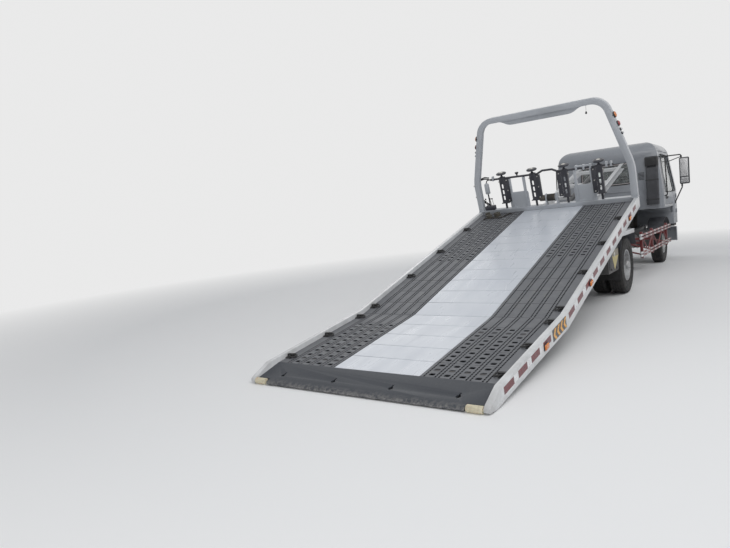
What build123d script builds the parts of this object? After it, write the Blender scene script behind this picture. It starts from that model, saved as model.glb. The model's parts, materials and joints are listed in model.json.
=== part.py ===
"""Flatbed tow truck with its bed run back and tilted, tail on the ground.

Vehicle axes: +X forward, +Y left, +Z up, ground at z = 0, x = 0 at the rear axle.
Millimetres.  Every file is written with the middle of the truck's length at x = 0.
The bed has its own axes: u runs forward along the deck from the bend, w is square
to the deck with 0 at its top face, and y is shared.
"""
from build123d import *
from math import asin, atan2, cos, degrees, hypot, pi, radians, sin
import os

# Running gear
WHEELBASE = 3750
TYRE_RADIUS = 388
TYRE_WIDTH = 200
BEAD_RADIUS = 206
FRONT_TRACK = 1504
REAR_TRACK = 1505
DUAL_SPACING = 235
RIM_WIDTH = 150
SPINDLE_RADIUS = 30
RUNNING_GAP = 0.4
KINGPIN_Y = 610
KINGPIN_RADIUS = 16
AXLE_TUBE_RADIUS = 55

# Chassis
RAIL_OUTER_Y = 375
RAIL_HEIGHT = 180
RAIL_FLANGE = 65
RAIL_WALL = 7
CHASSIS_TOP = 690
CHASSIS_REAR_X = -1080
CHASSIS_FRONT_X = WHEELBASE + 890
SUBFRAME_HEIGHT = 55
SUBFRAME_REAR_X = -880
SUBFRAME_FRONT_X = WHEELBASE - 1050

# Bed
BED_WIDTH = 2300
SIDE_RAIL_WIDTH = 50
SIDE_RAIL_HEIGHT = 150
SIDE_RAIL_STAND = 45
MAIN_LENGTH = 3550
REAR_LENGTH = 1380
LIP_LENGTH = 325
REAR_ANGLE = 8.2
LIP_START_Z = 117
LIP_TIP_Z = 36
DECK_THICKNESS = 6
CENTRE_WIDTH = 860
CROSS_BEAM_HEIGHT = 80
LONG_BEAM_DEPTH = 130
LONG_BEAM_Y = (325, 375)
ROLLER_RADIUS = 28

# Slots of the wheel tracks
PLATE_PITCH = 281
SLOT_ROW_PITCH = 85
SLOT_COLUMNS = (515, 645, 775, 905)
SLOT_LENGTH = 52
SLOT_WIDTH = 21

# Tilt frame, its pivot and the cylinders
PIVOT_X = -1000
PIVOT_Z = 750
PIVOT_U = 2436
PIVOT_RADIUS = 20
SLIDE_GAP = 5
TILT_RAIL_HEIGHT = 100
TILT_RAIL_Y = (340, 400)
SLIDE_TRAVEL = 2860
ROD_IN_BARREL = 100
BARREL_SPARE = 100
BARREL_CAP = 15
SLIDE_AXIS_W = -145
BARREL_RADIUS = 38
BARREL_BORE = 30
SLIDE_ROD_RADIUS = 22
ROD_ANCHOR_U = 385
BARREL_MOUTH = 880
LIFT_BASE = (-500, 520)
LIFT_EYE = (1100, -290)
LIFT_Y = 230
LIFT_BARREL_RADIUS = 45
LIFT_ROD_RADIUS = 26
LIFT_PIN_RADIUS = 15

# Arch at the front of the bed
ARCH_TUBE = 80
ARCH_HEIGHT = 1400
ARCH_LEG = 360
ARCH_SHOULDER_Y = 900
FASCIA_DEPTH = 150
FASCIA_HALF = 390
FASCIA_SCALLOP = 230

# Cab, with x measured from the front axle
CAB_REAR_X = -600
CAB_FRONT_X = 1080
CAB_HALF_WIDTH = 960
CAB_FLOOR_Z = 1050
CAB_SKIRT_Z = 700
CAB_ROOF_Z = 2280
CAB_WAIST_Z = 1380
CAB_WALL = 45
FOOTWELL_X = 500
CAB_HINGE = (970, 715)
DOOR_GAP = 5
GLASS_THICKNESS = 6
SEAT_GAP = 0.3
BUMPER_TOP = 620

# Values that follow from those above
TILT_BOTTOM_W = -LONG_BEAM_DEPTH - SLIDE_GAP - TILT_RAIL_HEIGHT
PIVOT_W = TILT_BOTTOM_W - 1
BARREL_END = BARREL_MOUTH + ROD_IN_BARREL + SLIDE_TRAVEL + BARREL_SPARE
TILT_LENGTH = BARREL_END + 10
KINK_Z = LIP_START_Z + REAR_LENGTH * sin(radians(REAR_ANGLE))
MAIN_ANGLE = degrees(asin((PIVOT_Z - KINK_Z) / hypot(PIVOT_U, PIVOT_W)) - atan2(PIVOT_W, PIVOT_U))
KINK_X = PIVOT_X - PIVOT_U * cos(radians(MAIN_ANGLE)) + PIVOT_W * sin(radians(MAIN_ANGLE))
LIP_START_X = KINK_X - REAR_LENGTH * cos(radians(REAR_ANGLE))
TAIL_X = LIP_START_X - LIP_LENGTH
MIDDLE_X = (TAIL_X + WHEELBASE + CAB_FRONT_X) / 2
RAIL_INNER_Y = BED_WIDTH / 2 - SIDE_RAIL_WIDTH


def block(x, y, z):
    """Box between pairs of corner values."""
    sizes = [pair[1] - pair[0] for pair in (x, y, z)]
    centre = [(pair[1] + pair[0]) / 2 for pair in (x, y, z)]
    return Pos(*centre) * Box(*sizes)


def profile(points, y):
    """Outline of (x, z) points, extruded between two y values."""
    outline = Polyline(*[(px, y[0], pz) for px, pz in points], close=True)
    return extrude(make_face(outline), amount=y[1] - y[0], dir=(0, 1, 0))


def bar(start, end, radius):
    """Round bar between two points."""
    run = Vector(*end) - Vector(*start)
    seat = Plane(origin=start, z_dir=run)
    return seat * Cylinder(radius, run.length, align=(Align.CENTER, Align.CENTER, Align.MIN))


def cross_pin(x, z, y, radius):
    """Round bar along Y."""
    return bar((x, y[0], z), (x, y[1], z), radius)


def mirrored(shape):
    """The same piece on the right-hand side."""
    return mirror(shape, about=Plane.XZ)


def both(shape):
    """Left piece with its right-hand twin."""
    return [shape, mirrored(shape)]


def joined(pieces):
    """All pieces fused to one solid."""
    result = pieces[0]
    for piece in pieces[1:]:
        result = result + piece
    return result


def main_point(u, w):
    """Vehicle (x, z) of a point on the main part of the bed."""
    a = radians(MAIN_ANGLE)
    return (KINK_X + u * cos(a) - w * sin(a), KINK_Z + u * sin(a) + w * cos(a))


def rear_point(u, w):
    """Vehicle (x, z) of a point on the rear part of the bed; u is negative."""
    a = radians(REAR_ANGLE)
    return (KINK_X + u * cos(a) - w * sin(a), KINK_Z + u * sin(a) + w * cos(a))


def kink_point(w):
    """Vehicle (x, z) on the line where the two parts of the bed meet."""
    middle = radians((MAIN_ANGLE + REAR_ANGLE) / 2)
    half = radians((MAIN_ANGLE - REAR_ANGLE) / 2)
    reach = w / cos(half)
    return (KINK_X - reach * sin(middle), KINK_Z + reach * cos(middle))


def on_main(shape):
    """Move a piece from bed axes to the tilted main part."""
    return Pos(KINK_X, 0, KINK_Z) * Rot(0, -MAIN_ANGLE, 0) * shape


def on_rear(shape):
    """Move a piece from bed axes to the rear part."""
    return Pos(KINK_X, 0, KINK_Z) * Rot(0, -REAR_ANGLE, 0) * shape


def on_tilt(shape):
    """Move a piece from tilt-frame axes, u from the pivot, to its place."""
    return on_main(Pos(PIVOT_U, 0, 0) * shape)


def on_front(shape):
    """Move a piece from cab axes, x from the front axle, to its place."""
    return Pos(WHEELBASE, 0, 0) * shape


# Chassis

def channel_rail(x, top, height):
    """C-section rail on the left, open towards the middle."""
    y_web = RAIL_OUTER_Y - RAIL_WALL
    y_in = RAIL_OUTER_Y - RAIL_FLANGE
    rail = block(x, (y_web, RAIL_OUTER_Y), (top - height, top))
    rail += block(x, (y_in, RAIL_OUTER_Y), (top - RAIL_WALL, top))
    rail += block(x, (y_in, RAIL_OUTER_Y), (top - height, top - height + RAIL_WALL))
    return rail


LIFT_MEMBER_X = -560
CROSS_MEMBERS = (-1040, LIFT_MEMBER_X, 360, 1500, 2300, WHEELBASE + 450, WHEELBASE + 850)
CROSS_MEMBER_WIDTH = 70
CROSS_MEMBER_DEPTH = 130
CAB_MOUNT_X = WHEELBASE - 550
CAB_MOUNT_Y = 330


def cross_member(x):
    """Hat-section member between the chassis rails."""
    y = (-RAIL_OUTER_Y + RAIL_WALL, RAIL_OUTER_Y - RAIL_WALL)
    z = (CHASSIS_TOP - CROSS_MEMBER_DEPTH, CHASSIS_TOP)
    half = CROSS_MEMBER_WIDTH / 2
    member = block((x - half, x + half), y, z)
    return member - block((x - half + 8, x + half - 8), y, (z[0] - 1, z[1] - 8))


def chassis_frame():
    """Two channel rails, cross members, spring hangers and the cab mounts."""
    x = (CHASSIS_REAR_X, CHASSIS_FRONT_X)
    left = channel_rail(x, CHASSIS_TOP, RAIL_HEIGHT)
    pieces = both(left) + [cross_member(cx) for cx in CROSS_MEMBERS]
    bottom = CHASSIS_TOP - RAIL_HEIGHT
    mount = block((CAB_MOUNT_X - 30, CAB_MOUNT_X + 30), (CAB_MOUNT_Y - 30, CAB_MOUNT_Y + 30),
                  (CHASSIS_TOP, CAB_FLOOR_Z - 60))
    pieces += both(mount)
    pieces.append(block((CAB_MOUNT_X - 35, CAB_MOUNT_X + 35), (-420, 420),
                        (CAB_FLOOR_Z - 60, CAB_FLOOR_Z - 5)))
    hinge_x, hinge_z = WHEELBASE + CAB_HINGE[0], CAB_HINGE[1]
    arm = profile([(CHASSIS_FRONT_X - 120, bottom + 50), (CHASSIS_FRONT_X, BUMPER_TOP + 10),
                   (hinge_x + 30, BUMPER_TOP + 40), (hinge_x + 30, hinge_z + 10),
                   (hinge_x - 30, hinge_z + 15), (hinge_x - 55, CHASSIS_TOP),
                   (CHASSIS_FRONT_X - 120, CHASSIS_TOP)],
                  (RAIL_OUTER_Y, RAIL_OUTER_Y + 14))
    pieces += both(arm)
    pieces += both(cross_pin(hinge_x, hinge_z, (RAIL_OUTER_Y, RAIL_OUTER_Y + 60), 14))
    for axle_x, half, y, eye_z in ((0, REAR_SPRING_HALF, REAR_SPRING_Y, REAR_EYE_Z),
                                   (WHEELBASE, FRONT_SPRING_HALF, FRONT_SPRING_Y, FRONT_EYE_Z)):
        for side in (-1, 1):
            pieces += both(spring_hanger(axle_x + side * half, y, eye_z, bottom))
    return joined(pieces)


# Springs and axles
REAR_SPRING_Y = 452
REAR_SPRING_HALF = 620
REAR_EYE_Z = 545
FRONT_SPRING_Y = 335
FRONT_SPRING_HALF = 600
FRONT_EYE_Z = 455
SPRING_WIDTH = 66
LEAF_THICKNESS = 11
EYE_RADIUS = 22
EYE_PIN_RADIUS = 12


def spring_hanger(x, y, eye_z, rail_bottom):
    """Two cheeks and a pin that hold one spring eye under or beside the left rail."""
    cheek_y = SPRING_WIDTH / 2 + 3
    top = rail_bottom + 5 if y < RAIL_OUTER_Y else eye_z + 60
    hanger = block((x - 32, x + 32), (y - cheek_y - 10, y - cheek_y), (eye_z - 30, top))
    hanger += block((x - 32, x + 32), (y + cheek_y, y + cheek_y + 10), (eye_z - 30, top))
    hanger += cross_pin(x, eye_z, (y - cheek_y - 10, y + cheek_y + 10), EYE_PIN_RADIUS)
    if y > RAIL_OUTER_Y:
        hanger += block((x - 32, x + 32), (RAIL_OUTER_Y - 1, y + cheek_y + 10), (top - 14, top))
    return hanger


def leaf_pack(x, y, seat_z, half, leaves, eye_z):
    """Stack of curved leaves, the longest on top with a rolled eye at each end."""
    pack_top = seat_z + leaves * LEAF_THICKNESS
    rise = eye_z - pack_top
    radius = (half * half + rise * rise) / (2 * rise)
    centre_z = pack_top + radius
    pieces = []
    for index in range(leaves):
        leaf_half = half * (1 - 0.8 * index / leaves)
        turn = asin(leaf_half / radius)
        arcs = []
        for r in (radius + index * LEAF_THICKNESS, radius + (index + 1) * LEAF_THICKNESS):
            arcs.append([(x + r * sin(t), y - SPRING_WIDTH / 2, centre_z - r * cos(t))
                         for t in (-turn, 0, turn)])
        edges = [ThreePointArc(*arcs[0]), ThreePointArc(*arcs[1]),
                 Line(arcs[0][0], arcs[1][0]), Line(arcs[0][2], arcs[1][2])]
        pieces.append(extrude(make_face(edges), amount=SPRING_WIDTH, dir=(0, 1, 0)))
    eye_y = (y - SPRING_WIDTH / 2, y + SPRING_WIDTH / 2)
    pieces += [cross_pin(x + side * half, eye_z, eye_y, EYE_RADIUS) for side in (-1, 1)]
    pack = joined(pieces)
    for side in (-1, 1):
        pack -= cross_pin(x + side * half, eye_z, eye_y, EYE_PIN_RADIUS + RUNNING_GAP)
    return pack


def spring_on_seat(axle_x, y, seat_z, half, leaves, eye_z):
    """Left leaf pack with its clamp plate."""
    top = seat_z + leaves * LEAF_THICKNESS
    plate = block((axle_x - 70, axle_x + 70), (y - 45, y + 45), (top - 4, top + 14))
    return leaf_pack(axle_x, y, seat_z, half, leaves, eye_z) + plate


def front_axle():
    """Dropped beam with kingpin ends, carried on two leaf springs."""
    beam_z = 330
    y_end = KINGPIN_Y
    beam = block((WHEELBASE - 35, WHEELBASE + 35), (-y_end + 120, y_end - 120), (beam_z - 30, beam_z + 30))
    rise = [(y_end - 170, beam_z - 30), (y_end - 120, beam_z - 30), (y_end - 42, TYRE_RADIUS - 38),
            (y_end + 5, TYRE_RADIUS - 38), (y_end + 5, TYRE_RADIUS + 38), (y_end - 60, TYRE_RADIUS + 38),
            (y_end - 160, beam_z + 30)]
    outline = Polyline(*[(WHEELBASE - 35, py, pz) for py, pz in rise], close=True)
    end = extrude(make_face(outline), amount=70, dir=(1, 0, 0))
    end += bar((WHEELBASE, y_end, TYRE_RADIUS - 38), (WHEELBASE, y_end, TYRE_RADIUS + 38), 34)
    end -= bar((WHEELBASE, y_end, 0), (WHEELBASE, y_end, 2 * TYRE_RADIUS), KINGPIN_RADIUS + RUNNING_GAP)
    spring = spring_on_seat(WHEELBASE, FRONT_SPRING_Y, beam_z + 29, FRONT_SPRING_HALF, 3, FRONT_EYE_Z)
    return joined([beam] + both(end) + both(spring))


def knuckle():
    """Left steering knuckle: fork round the axle end, kingpin, spindle and arm."""
    z = TYRE_RADIUS
    y = KINGPIN_Y
    lugs = []
    for low, high in ((z - 70, z - 38 - RUNNING_GAP), (z + 38 + RUNNING_GAP, z + 70)):
        lugs.append(bar((WHEELBASE, y, low), (WHEELBASE, y, high), 34))
        lugs.append(block((WHEELBASE - 28, WHEELBASE + 28), (y, y + 60), (low, high)))
    back = block((WHEELBASE - 32, WHEELBASE + 32), (y + 38, y + 68), (z - 70, z + 70))
    pin = bar((WHEELBASE, y, z - 74), (WHEELBASE, y, z + 74), KINGPIN_RADIUS)
    spindle = cross_pin(WHEELBASE, z, (y + 60, SPINDLE_FRONT_END), SPINDLE_RADIUS)
    arm = block((WHEELBASE - 190, WHEELBASE - 20), (y - 14, y + 26), (z - 70, z - 50))
    return joined([back, pin, spindle, arm] + lugs)


def rear_axle():
    """Banjo housing with its tubes, hub spindles and leaf springs."""
    z = TYRE_RADIUS
    tube = cross_pin(0, z, (-REAR_TRACK / 2 + 155, REAR_TRACK / 2 - 155), AXLE_TUBE_RADIUS - 8)
    waist = cross_pin(0, z, (-520, 520), AXLE_TUBE_RADIUS)
    bowl = bar((-120, 0, z), (130, 0, z), 150)
    bowl += cross_pin(0, z, (-95, 95), 165)
    nose = bar((120, 0, z), (260, 0, z + 6), 62)
    spindle = cross_pin(0, z, (-SPINDLE_REAR_END, SPINDLE_REAR_END), SPINDLE_RADIUS)
    spring = spring_on_seat(0, REAR_SPRING_Y, z + AXLE_TUBE_RADIUS - 6, REAR_SPRING_HALF, 4, REAR_EYE_Z)
    return joined([tube, waist, bowl, nose, spindle] + both(spring))


# Wheels

def tyre(x, y):
    """Tyre with bulged sides and rounded shoulders, axle along Y."""
    half = TYRE_WIDTH / 2
    seat = RIM_WIDTH / 2
    side_r = (BEAD_RADIUS + TYRE_RADIUS) / 2
    tread = half - 24
    shoulder_r = TYRE_RADIUS - 7
    top = BEAD_RADIUS + 11
    flank = ThreePointArc((top, -seat, 0), (side_r - 10, -half, 0), (shoulder_r - 16, -half + 7, 0))
    shoulder = ThreePointArc((shoulder_r - 16, -half + 7, 0), (TYRE_RADIUS - 5, -half + 12, 0),
                             (TYRE_RADIUS, -tread, 0))
    lines = [Line((BEAD_RADIUS, -seat, 0), (top, -seat, 0)), flank, shoulder]
    lines += [mirror(line, about=Plane.XZ) for line in lines]
    lines.append(Line((TYRE_RADIUS, -tread, 0), (TYRE_RADIUS, tread, 0)))
    lines.append(Line((BEAD_RADIUS, -seat, 0), (BEAD_RADIUS, seat, 0)))
    return Pos(x, y, TYRE_RADIUS) * revolve(make_face(lines), axis=Axis.Y)


HAND_HOLE_CIRCLE = 118
HAND_HOLE_RADIUS = 20
FRONT_FACE = 50
SPINDLE_FRONT_END = FRONT_TRACK / 2 + 50
SPINDLE_REAR_END = REAR_TRACK / 2 + 110
DISC_THICKNESS = 12


def rim_shell(y, side, edge, face):
    """Rim barrel with flanges and a coned disc; edge and face are measured from its middle."""
    seat = RIM_WIDTH / 2
    wide = (y - seat - 9, y + seat + 9)
    shell = cross_pin(0, 0, wide, BEAD_RADIUS + 9) - cross_pin(0, 0, (y - seat, y + seat), BEAD_RADIUS + 20)
    shell += cross_pin(0, 0, (y - seat - 1, y + seat + 1), BEAD_RADIUS - 0.3)
    shell -= cross_pin(0, 0, (wide[0] - 1, wide[1] + 1), BEAD_RADIUS - 9)
    half = DISC_THICKNESS / 2
    outline = [(BEAD_RADIUS - 8, edge - half), (BEAD_RADIUS - 8, edge + half), (162, face + half),
               (0, face + half), (0, face - half), (154, face - half)]
    section = make_face(Polyline(*[(r, y + side * t, 0) for r, t in outline], close=True))
    shell += revolve(section, axis=Axis.Y)
    middle = y + side * face
    for index in range(8):
        angle = 2 * pi * (index + 0.5) / 8
        hole_x = HAND_HOLE_CIRCLE * cos(angle)
        hole_z = HAND_HOLE_CIRCLE * sin(angle)
        shell -= cross_pin(hole_x, hole_z, (middle - 20, middle + 20), HAND_HOLE_RADIUS)
    return shell


def front_rim():
    """Left front wheel with its brake drum and hub."""
    y = FRONT_TRACK / 2
    wheel = rim_shell(y, 1, 15, FRONT_FACE)
    wheel += cross_pin(0, 0, (y - 60, y + 20), 150)
    wheel += cross_pin(0, 0, (y, SPINDLE_FRONT_END + 20), 70)
    wheel -= cross_pin(0, 0, (y - 100, SPINDLE_FRONT_END + RUNNING_GAP), SPINDLE_RADIUS + RUNNING_GAP)
    return Pos(WHEELBASE, 0, TYRE_RADIUS) * wheel


def rear_rim():
    """Left rear pair: two rims back to back on one hub with the brake drum."""
    y = REAR_TRACK / 2
    half = DUAL_SPACING / 2
    face = half - DISC_THICKNESS / 2
    wheel = rim_shell(y - half, 1, 45, face) + rim_shell(y + half, -1, 45, face)
    wheel += cross_pin(0, 0, (y - 150, y - 40), 145)
    wheel += cross_pin(0, 0, (y - 60, SPINDLE_REAR_END + 15), 75)
    wheel -= cross_pin(0, 0, (y - 200, SPINDLE_REAR_END + RUNNING_GAP), SPINDLE_RADIUS + RUNNING_GAP)
    return Pos(0, 0, TYRE_RADIUS) * wheel


# Parts hung on the chassis
ENGINE_X = (-470, 380)
GEARBOX_LENGTH = 580


def engine_block():
    """Engine as one plain block, and the radiator on its cross member."""
    top = CAB_FLOOR_Z - 60
    engine = block(ENGINE_X, (-250, 250), (CHASSIS_TOP - RAIL_HEIGHT + 30, top))
    radiator = block((ENGINE_X[1] + 35, ENGINE_X[1] + 105), (-300, 300), (CHASSIS_TOP, top))
    feet = both(block((ENGINE_X[0] + 320, ENGINE_X[0] + 400), (240, RAIL_OUTER_Y - RAIL_WALL), (600, 640)))
    return [on_front(joined([engine] + feet)), on_front(radiator)]


def drive_line():
    """Gearbox and propeller shaft."""
    front = WHEELBASE + ENGINE_X[0] - 0.3
    rear = front - GEARBOX_LENGTH
    gearbox = bar((front, 0, 590), (rear, 0, 590), 120)
    shaft = bar((rear + 40, 0, 500), (262, 0, TYRE_RADIUS + 8), 38)
    return joined([gearbox, shaft])


TANK_X = (WHEELBASE - 1850, WHEELBASE - 1050)
BATTERY_X = (WHEELBASE - 1400, WHEELBASE - 1000)
AIR_TANK_X = (WHEELBASE - 2150, WHEELBASE - 1500)


def fuel_tank():
    """Round-cornered tank on two brackets on the left rail."""
    tank = fillet(block(TANK_X, (460, 830), (390, 690)).edges().filter_by(Axis.X), 50)
    straps = []
    for x in (TANK_X[0] + 140, TANK_X[1] - 140):
        straps.append(block((x - 25, x + 25), (RAIL_OUTER_Y, 465), (430, 660)))
    return joined([tank] + straps)


def battery_box():
    """Battery box and air tank on the right rail."""
    box = block(BATTERY_X, (-820, -470), (430, 690))
    for x in (BATTERY_X[0] + 70, BATTERY_X[1] - 70):
        box += block((x - 20, x + 20), (-480, -RAIL_OUTER_Y), (520, 640))
    air = bar((AIR_TANK_X[0], -590, 560), (AIR_TANK_X[1], -590, 560), 110)
    air = fillet(air.edges().filter_by(GeomType.CIRCLE), 35)
    for x in (AIR_TANK_X[0] + 120, AIR_TANK_X[1] - 120):
        air += block((x - 20, x + 20), (-510, -RAIL_OUTER_Y), (520, 600))
    return [box, air]


GUARD_Y = 1050
GUARD_X = (480, WHEELBASE - 670)
GUARD_POSTS = (700, 1500, WHEELBASE - 890)
GUARD_ARM_Z = (610, 650)
GUARD_LEVELS = (440, 520, 680, 760)
GUARD_TUBE = 22


def side_guards():
    """Pairs of tubes along each side on an angle frame bolted to the rails."""
    tubes = [bar((GUARD_X[0], GUARD_Y, z), (GUARD_X[1], GUARD_Y, z), GUARD_TUBE) for z in GUARD_LEVELS]
    posts = []
    for x in GUARD_POSTS:
        posts.append(block((x - 20, x + 20), (GUARD_Y - 50, GUARD_Y - 10), (400, 790)))
        posts.append(block((x - 20, x + 20), (RAIL_OUTER_Y, GUARD_Y - 30), GUARD_ARM_Z))
    return both(joined(tubes + posts))


MUDGUARD_TOP = 858


def mudguards():
    """Arched guards over the front wheels and flat-topped ones over the rear pairs."""
    pieces = []
    outer = cross_pin(WHEELBASE, TYRE_RADIUS, (625, 900), 480)
    inner = cross_pin(WHEELBASE, TYRE_RADIUS, (620, 905), 476)
    arch = (outer - inner) & block((WHEELBASE - 430, WHEELBASE + 430), (600, 920), (560, 900))
    stay = block((WHEELBASE - 462, WHEELBASE - 418), (RAIL_OUTER_Y, 890), (605, 640))
    pieces += both(arch + stay)
    wing = [(-470, 640), (-360, MUDGUARD_TOP), (360, MUDGUARD_TOP), (470, 640), (465, 638),
            (357, MUDGUARD_TOP - 6), (-357, MUDGUARD_TOP - 6), (-465, 638)]
    cover = profile(wing, (530, 990))
    for x in (-430, 430):
        cover += block((x - 15, x + 15), (RAIL_OUTER_Y, 560), (650, 680))
    pieces += both(cover)
    return pieces


def toolboxes():
    """Closed lockers behind the rear wheels, hung from the rails."""
    box = fillet(block((-1050, -500), (560, 960), (390, 700)).edges().filter_by(Axis.Y), 40)
    arms = [block((x - 20, x + 20), (RAIL_OUTER_Y, 570), (600, 660)) for x in (-880, -540)]
    return both(joined([box] + arms))


def rear_lamp_bar():
    """Cross bar at the chassis end with lamp clusters and a bare plate."""
    x = CHASSIS_REAR_X
    bar_piece = block((x - 60, x), (-900, 900), (520, 600))
    lamps = both(block((x - 85, x - 60), (620, 860), (525, 595)))
    plate = block((x - 64, x - 60), (-220, 220), (530, 590))
    return joined([bar_piece] + lamps + [plate])


BUMPER_HALF = 940


def front_bumper():
    """Bumper bowed in plan, bolted to the rail ends."""
    z = (330, BUMPER_TOP)
    end_x = CAB_FRONT_X - 70
    back_x = CAB_FRONT_X - 150
    arc = ThreePointArc((end_x, -BUMPER_HALF, z[0]), (CAB_FRONT_X, 0, z[0]), (end_x, BUMPER_HALF, z[0]))
    back = Polyline((end_x, BUMPER_HALF, z[0]), (back_x, BUMPER_HALF, z[0]), (back_x, -BUMPER_HALF, z[0]),
                    (end_x, -BUMPER_HALF, z[0]))
    body = extrude(make_face([arc, back]), amount=z[1] - z[0], dir=(0, 0, 1))
    body = fillet(body.edges().group_by(Axis.X)[-1].filter_by(GeomType.CIRCLE), 18)
    body -= block((back_x - 10, back_x + 55), (-BUMPER_HALF + 12, BUMPER_HALF - 12), (z[0] - 1, z[1] - 14))
    arm_y = (RAIL_OUTER_Y - 60, RAIL_OUTER_Y)
    arms = both(block((CHASSIS_FRONT_X - WHEELBASE, back_x + 56), arm_y, (520, 600)))
    return on_front(joined([body] + arms))


# Subframe with the tilt pivot

BOSS_Y = (380, 404)
BRACKET_Y = (410, 426)


def subframe():
    """Rails on the chassis that carry the lowered tilt frame, and the pivot brackets."""
    top = CHASSIS_TOP + SUBFRAME_HEIGHT
    rail = block((SUBFRAME_REAR_X, SUBFRAME_FRONT_X), (RAIL_OUTER_Y - RAIL_FLANGE, RAIL_OUTER_Y),
                 (CHASSIS_TOP, top))
    bracket = profile([(PIVOT_X - 75, CHASSIS_TOP - 120), (PIVOT_X + 75, CHASSIS_TOP - 120),
                       (PIVOT_X + 40, PIVOT_Z + 30), (PIVOT_X - 40, PIVOT_Z + 30)], BRACKET_Y)
    bracket += block((PIVOT_X - 60, PIVOT_X + 60), (RAIL_OUTER_Y, BRACKET_Y[0]),
                     (CHASSIS_TOP - 120, CHASSIS_TOP - 20))
    bracket += cross_pin(PIVOT_X, PIVOT_Z, (BOSS_Y[0] - 4, BRACKET_Y[0]), PIVOT_RADIUS)
    base_x, base_z = LIFT_BASE
    pieces = both(rail) + both(bracket)
    lug_x = (LIFT_MEMBER_X + CROSS_MEMBER_WIDTH / 2, base_x + 30)
    lug_z = (base_z - 25, base_z + 75)
    lug = block(lug_x, (LIFT_Y + 52, LIFT_Y + 66), lug_z) + block(lug_x, (LIFT_Y - 66, LIFT_Y - 52), lug_z)
    lug += cross_pin(base_x, base_z, (LIFT_Y - 66, LIFT_Y + 66), LIFT_PIN_RADIUS)
    return pieces + both(lug)


# Tilt frame and cylinders

PISTON_LENGTH = 60
PAD_U = (40, 940)


def tilt_frame():
    """Two channel rails open outwards, cross members, pivot bosses and cylinder lugs."""
    y_in, y_out = TILT_RAIL_Y
    top = -LONG_BEAM_DEPTH - SLIDE_GAP
    bottom = top - TILT_RAIL_HEIGHT
    run = (20, TILT_LENGTH)
    rail = block(run, (y_in, y_in + 8), (bottom, top))
    rail += block(run, (y_in, y_out), (top - 8, top))
    rail += block(run, (y_in, y_out), (bottom, bottom + 8))
    web = profile([(-40, bottom - 1), (40, bottom - 40), (300, bottom + 4), (300, top - 4), (20, top - 4)],
                  (BOSS_Y[0], BOSS_Y[1]))
    rail += web + block((120, 290), (y_in + 4, BOSS_Y[0] + 2), (bottom, top))
    rail += cross_pin(0, PIVOT_W, BOSS_Y, 45)
    rail -= cross_pin(0, PIVOT_W, (BOSS_Y[0] - 5, BOSS_Y[1] + 5), PIVOT_RADIUS + RUNNING_GAP)
    for u in PAD_U:
        rail += block((u, u + 100), (345, 371), (top - 1, -LONG_BEAM_DEPTH - 0.3))
    cross_top = SLIDE_AXIS_W - BARREL_RADIUS
    pieces = both(rail)
    for u in (180, 640, LIFT_EYE[0], 1650, 2300, 3000, TILT_LENGTH - 60):
        pieces.append(block((u - 30, u + 30), (-y_in - 2, y_in + 2), (bottom, cross_top + 2)))
    eye_u, eye_w = LIFT_EYE
    for side in (-1, 1):
        for offset in (-48, 36):
            cheek = profile([(eye_u - 30, bottom + 20), (eye_u - 26, eye_w - 26), (eye_u + 26, eye_w - 26),
                             (eye_u + 30, bottom + 20)],
                            (side * LIFT_Y + offset, side * LIFT_Y + offset + 12))
            pieces.append(cheek)
        pieces.append(cross_pin(eye_u, eye_w, (side * LIFT_Y - 48, side * LIFT_Y + 48), LIFT_PIN_RADIUS))
    frame = joined(pieces) - bar((BARREL_MOUTH - 5, 0, SLIDE_AXIS_W), (TILT_LENGTH + 5, 0, SLIDE_AXIS_W),
                                 BARREL_RADIUS)
    return on_tilt(frame)


def slide_barrel():
    """Long cylinder barrel along the tilt frame, open at its rear mouth."""
    barrel = bar((BARREL_MOUTH, 0, SLIDE_AXIS_W), (BARREL_END, 0, SLIDE_AXIS_W), BARREL_RADIUS)
    barrel -= bar((BARREL_MOUTH - 1, 0, SLIDE_AXIS_W), (BARREL_END - BARREL_CAP, 0, SLIDE_AXIS_W), BARREL_BORE)
    gland = bar((BARREL_MOUTH, 0, SLIDE_AXIS_W), (BARREL_MOUTH + 40, 0, SLIDE_AXIS_W), BARREL_BORE + 1)
    gland -= bar((BARREL_MOUTH - 1, 0, SLIDE_AXIS_W), (BARREL_MOUTH + 41, 0, SLIDE_AXIS_W),
                 SLIDE_ROD_RADIUS + RUNNING_GAP)
    return on_tilt(barrel + gland)


def slide_rod():
    """Rod from its bracket under the bed into the barrel, with its piston."""
    end = PIVOT_U + BARREL_MOUTH + ROD_IN_BARREL
    rod = bar((ROD_ANCHOR_U + BEAM_HALF, 0, SLIDE_AXIS_W), (end, 0, SLIDE_AXIS_W), SLIDE_ROD_RADIUS)
    piston = bar((end - PISTON_LENGTH + 10, 0, SLIDE_AXIS_W), (end, 0, SLIDE_AXIS_W), BARREL_BORE - RUNNING_GAP)
    return on_main(rod + piston)


def lift_line():
    """Base and eye of the lift cylinders in vehicle (x, z), bed tilted."""
    return LIFT_BASE, main_point(PIVOT_U + LIFT_EYE[0], LIFT_EYE[1])


def lift_point(distance):
    """Point on the lift cylinder's axis at a distance from its base."""
    (base_x, base_z), (eye_x, eye_z) = lift_line()
    length = hypot(eye_x - base_x, eye_z - base_z)
    share = distance / length
    return (base_x + (eye_x - base_x) * share, base_z + (eye_z - base_z) * share)


LIFT_BARREL_LENGTH = 500
LIFT_BORE = 36
LIFT_TIE = 220
LIFT_ROD_SEAT = 330
LIFT_EYE_RADIUS = 38
LIFT_EYE_BORE = 28


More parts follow.
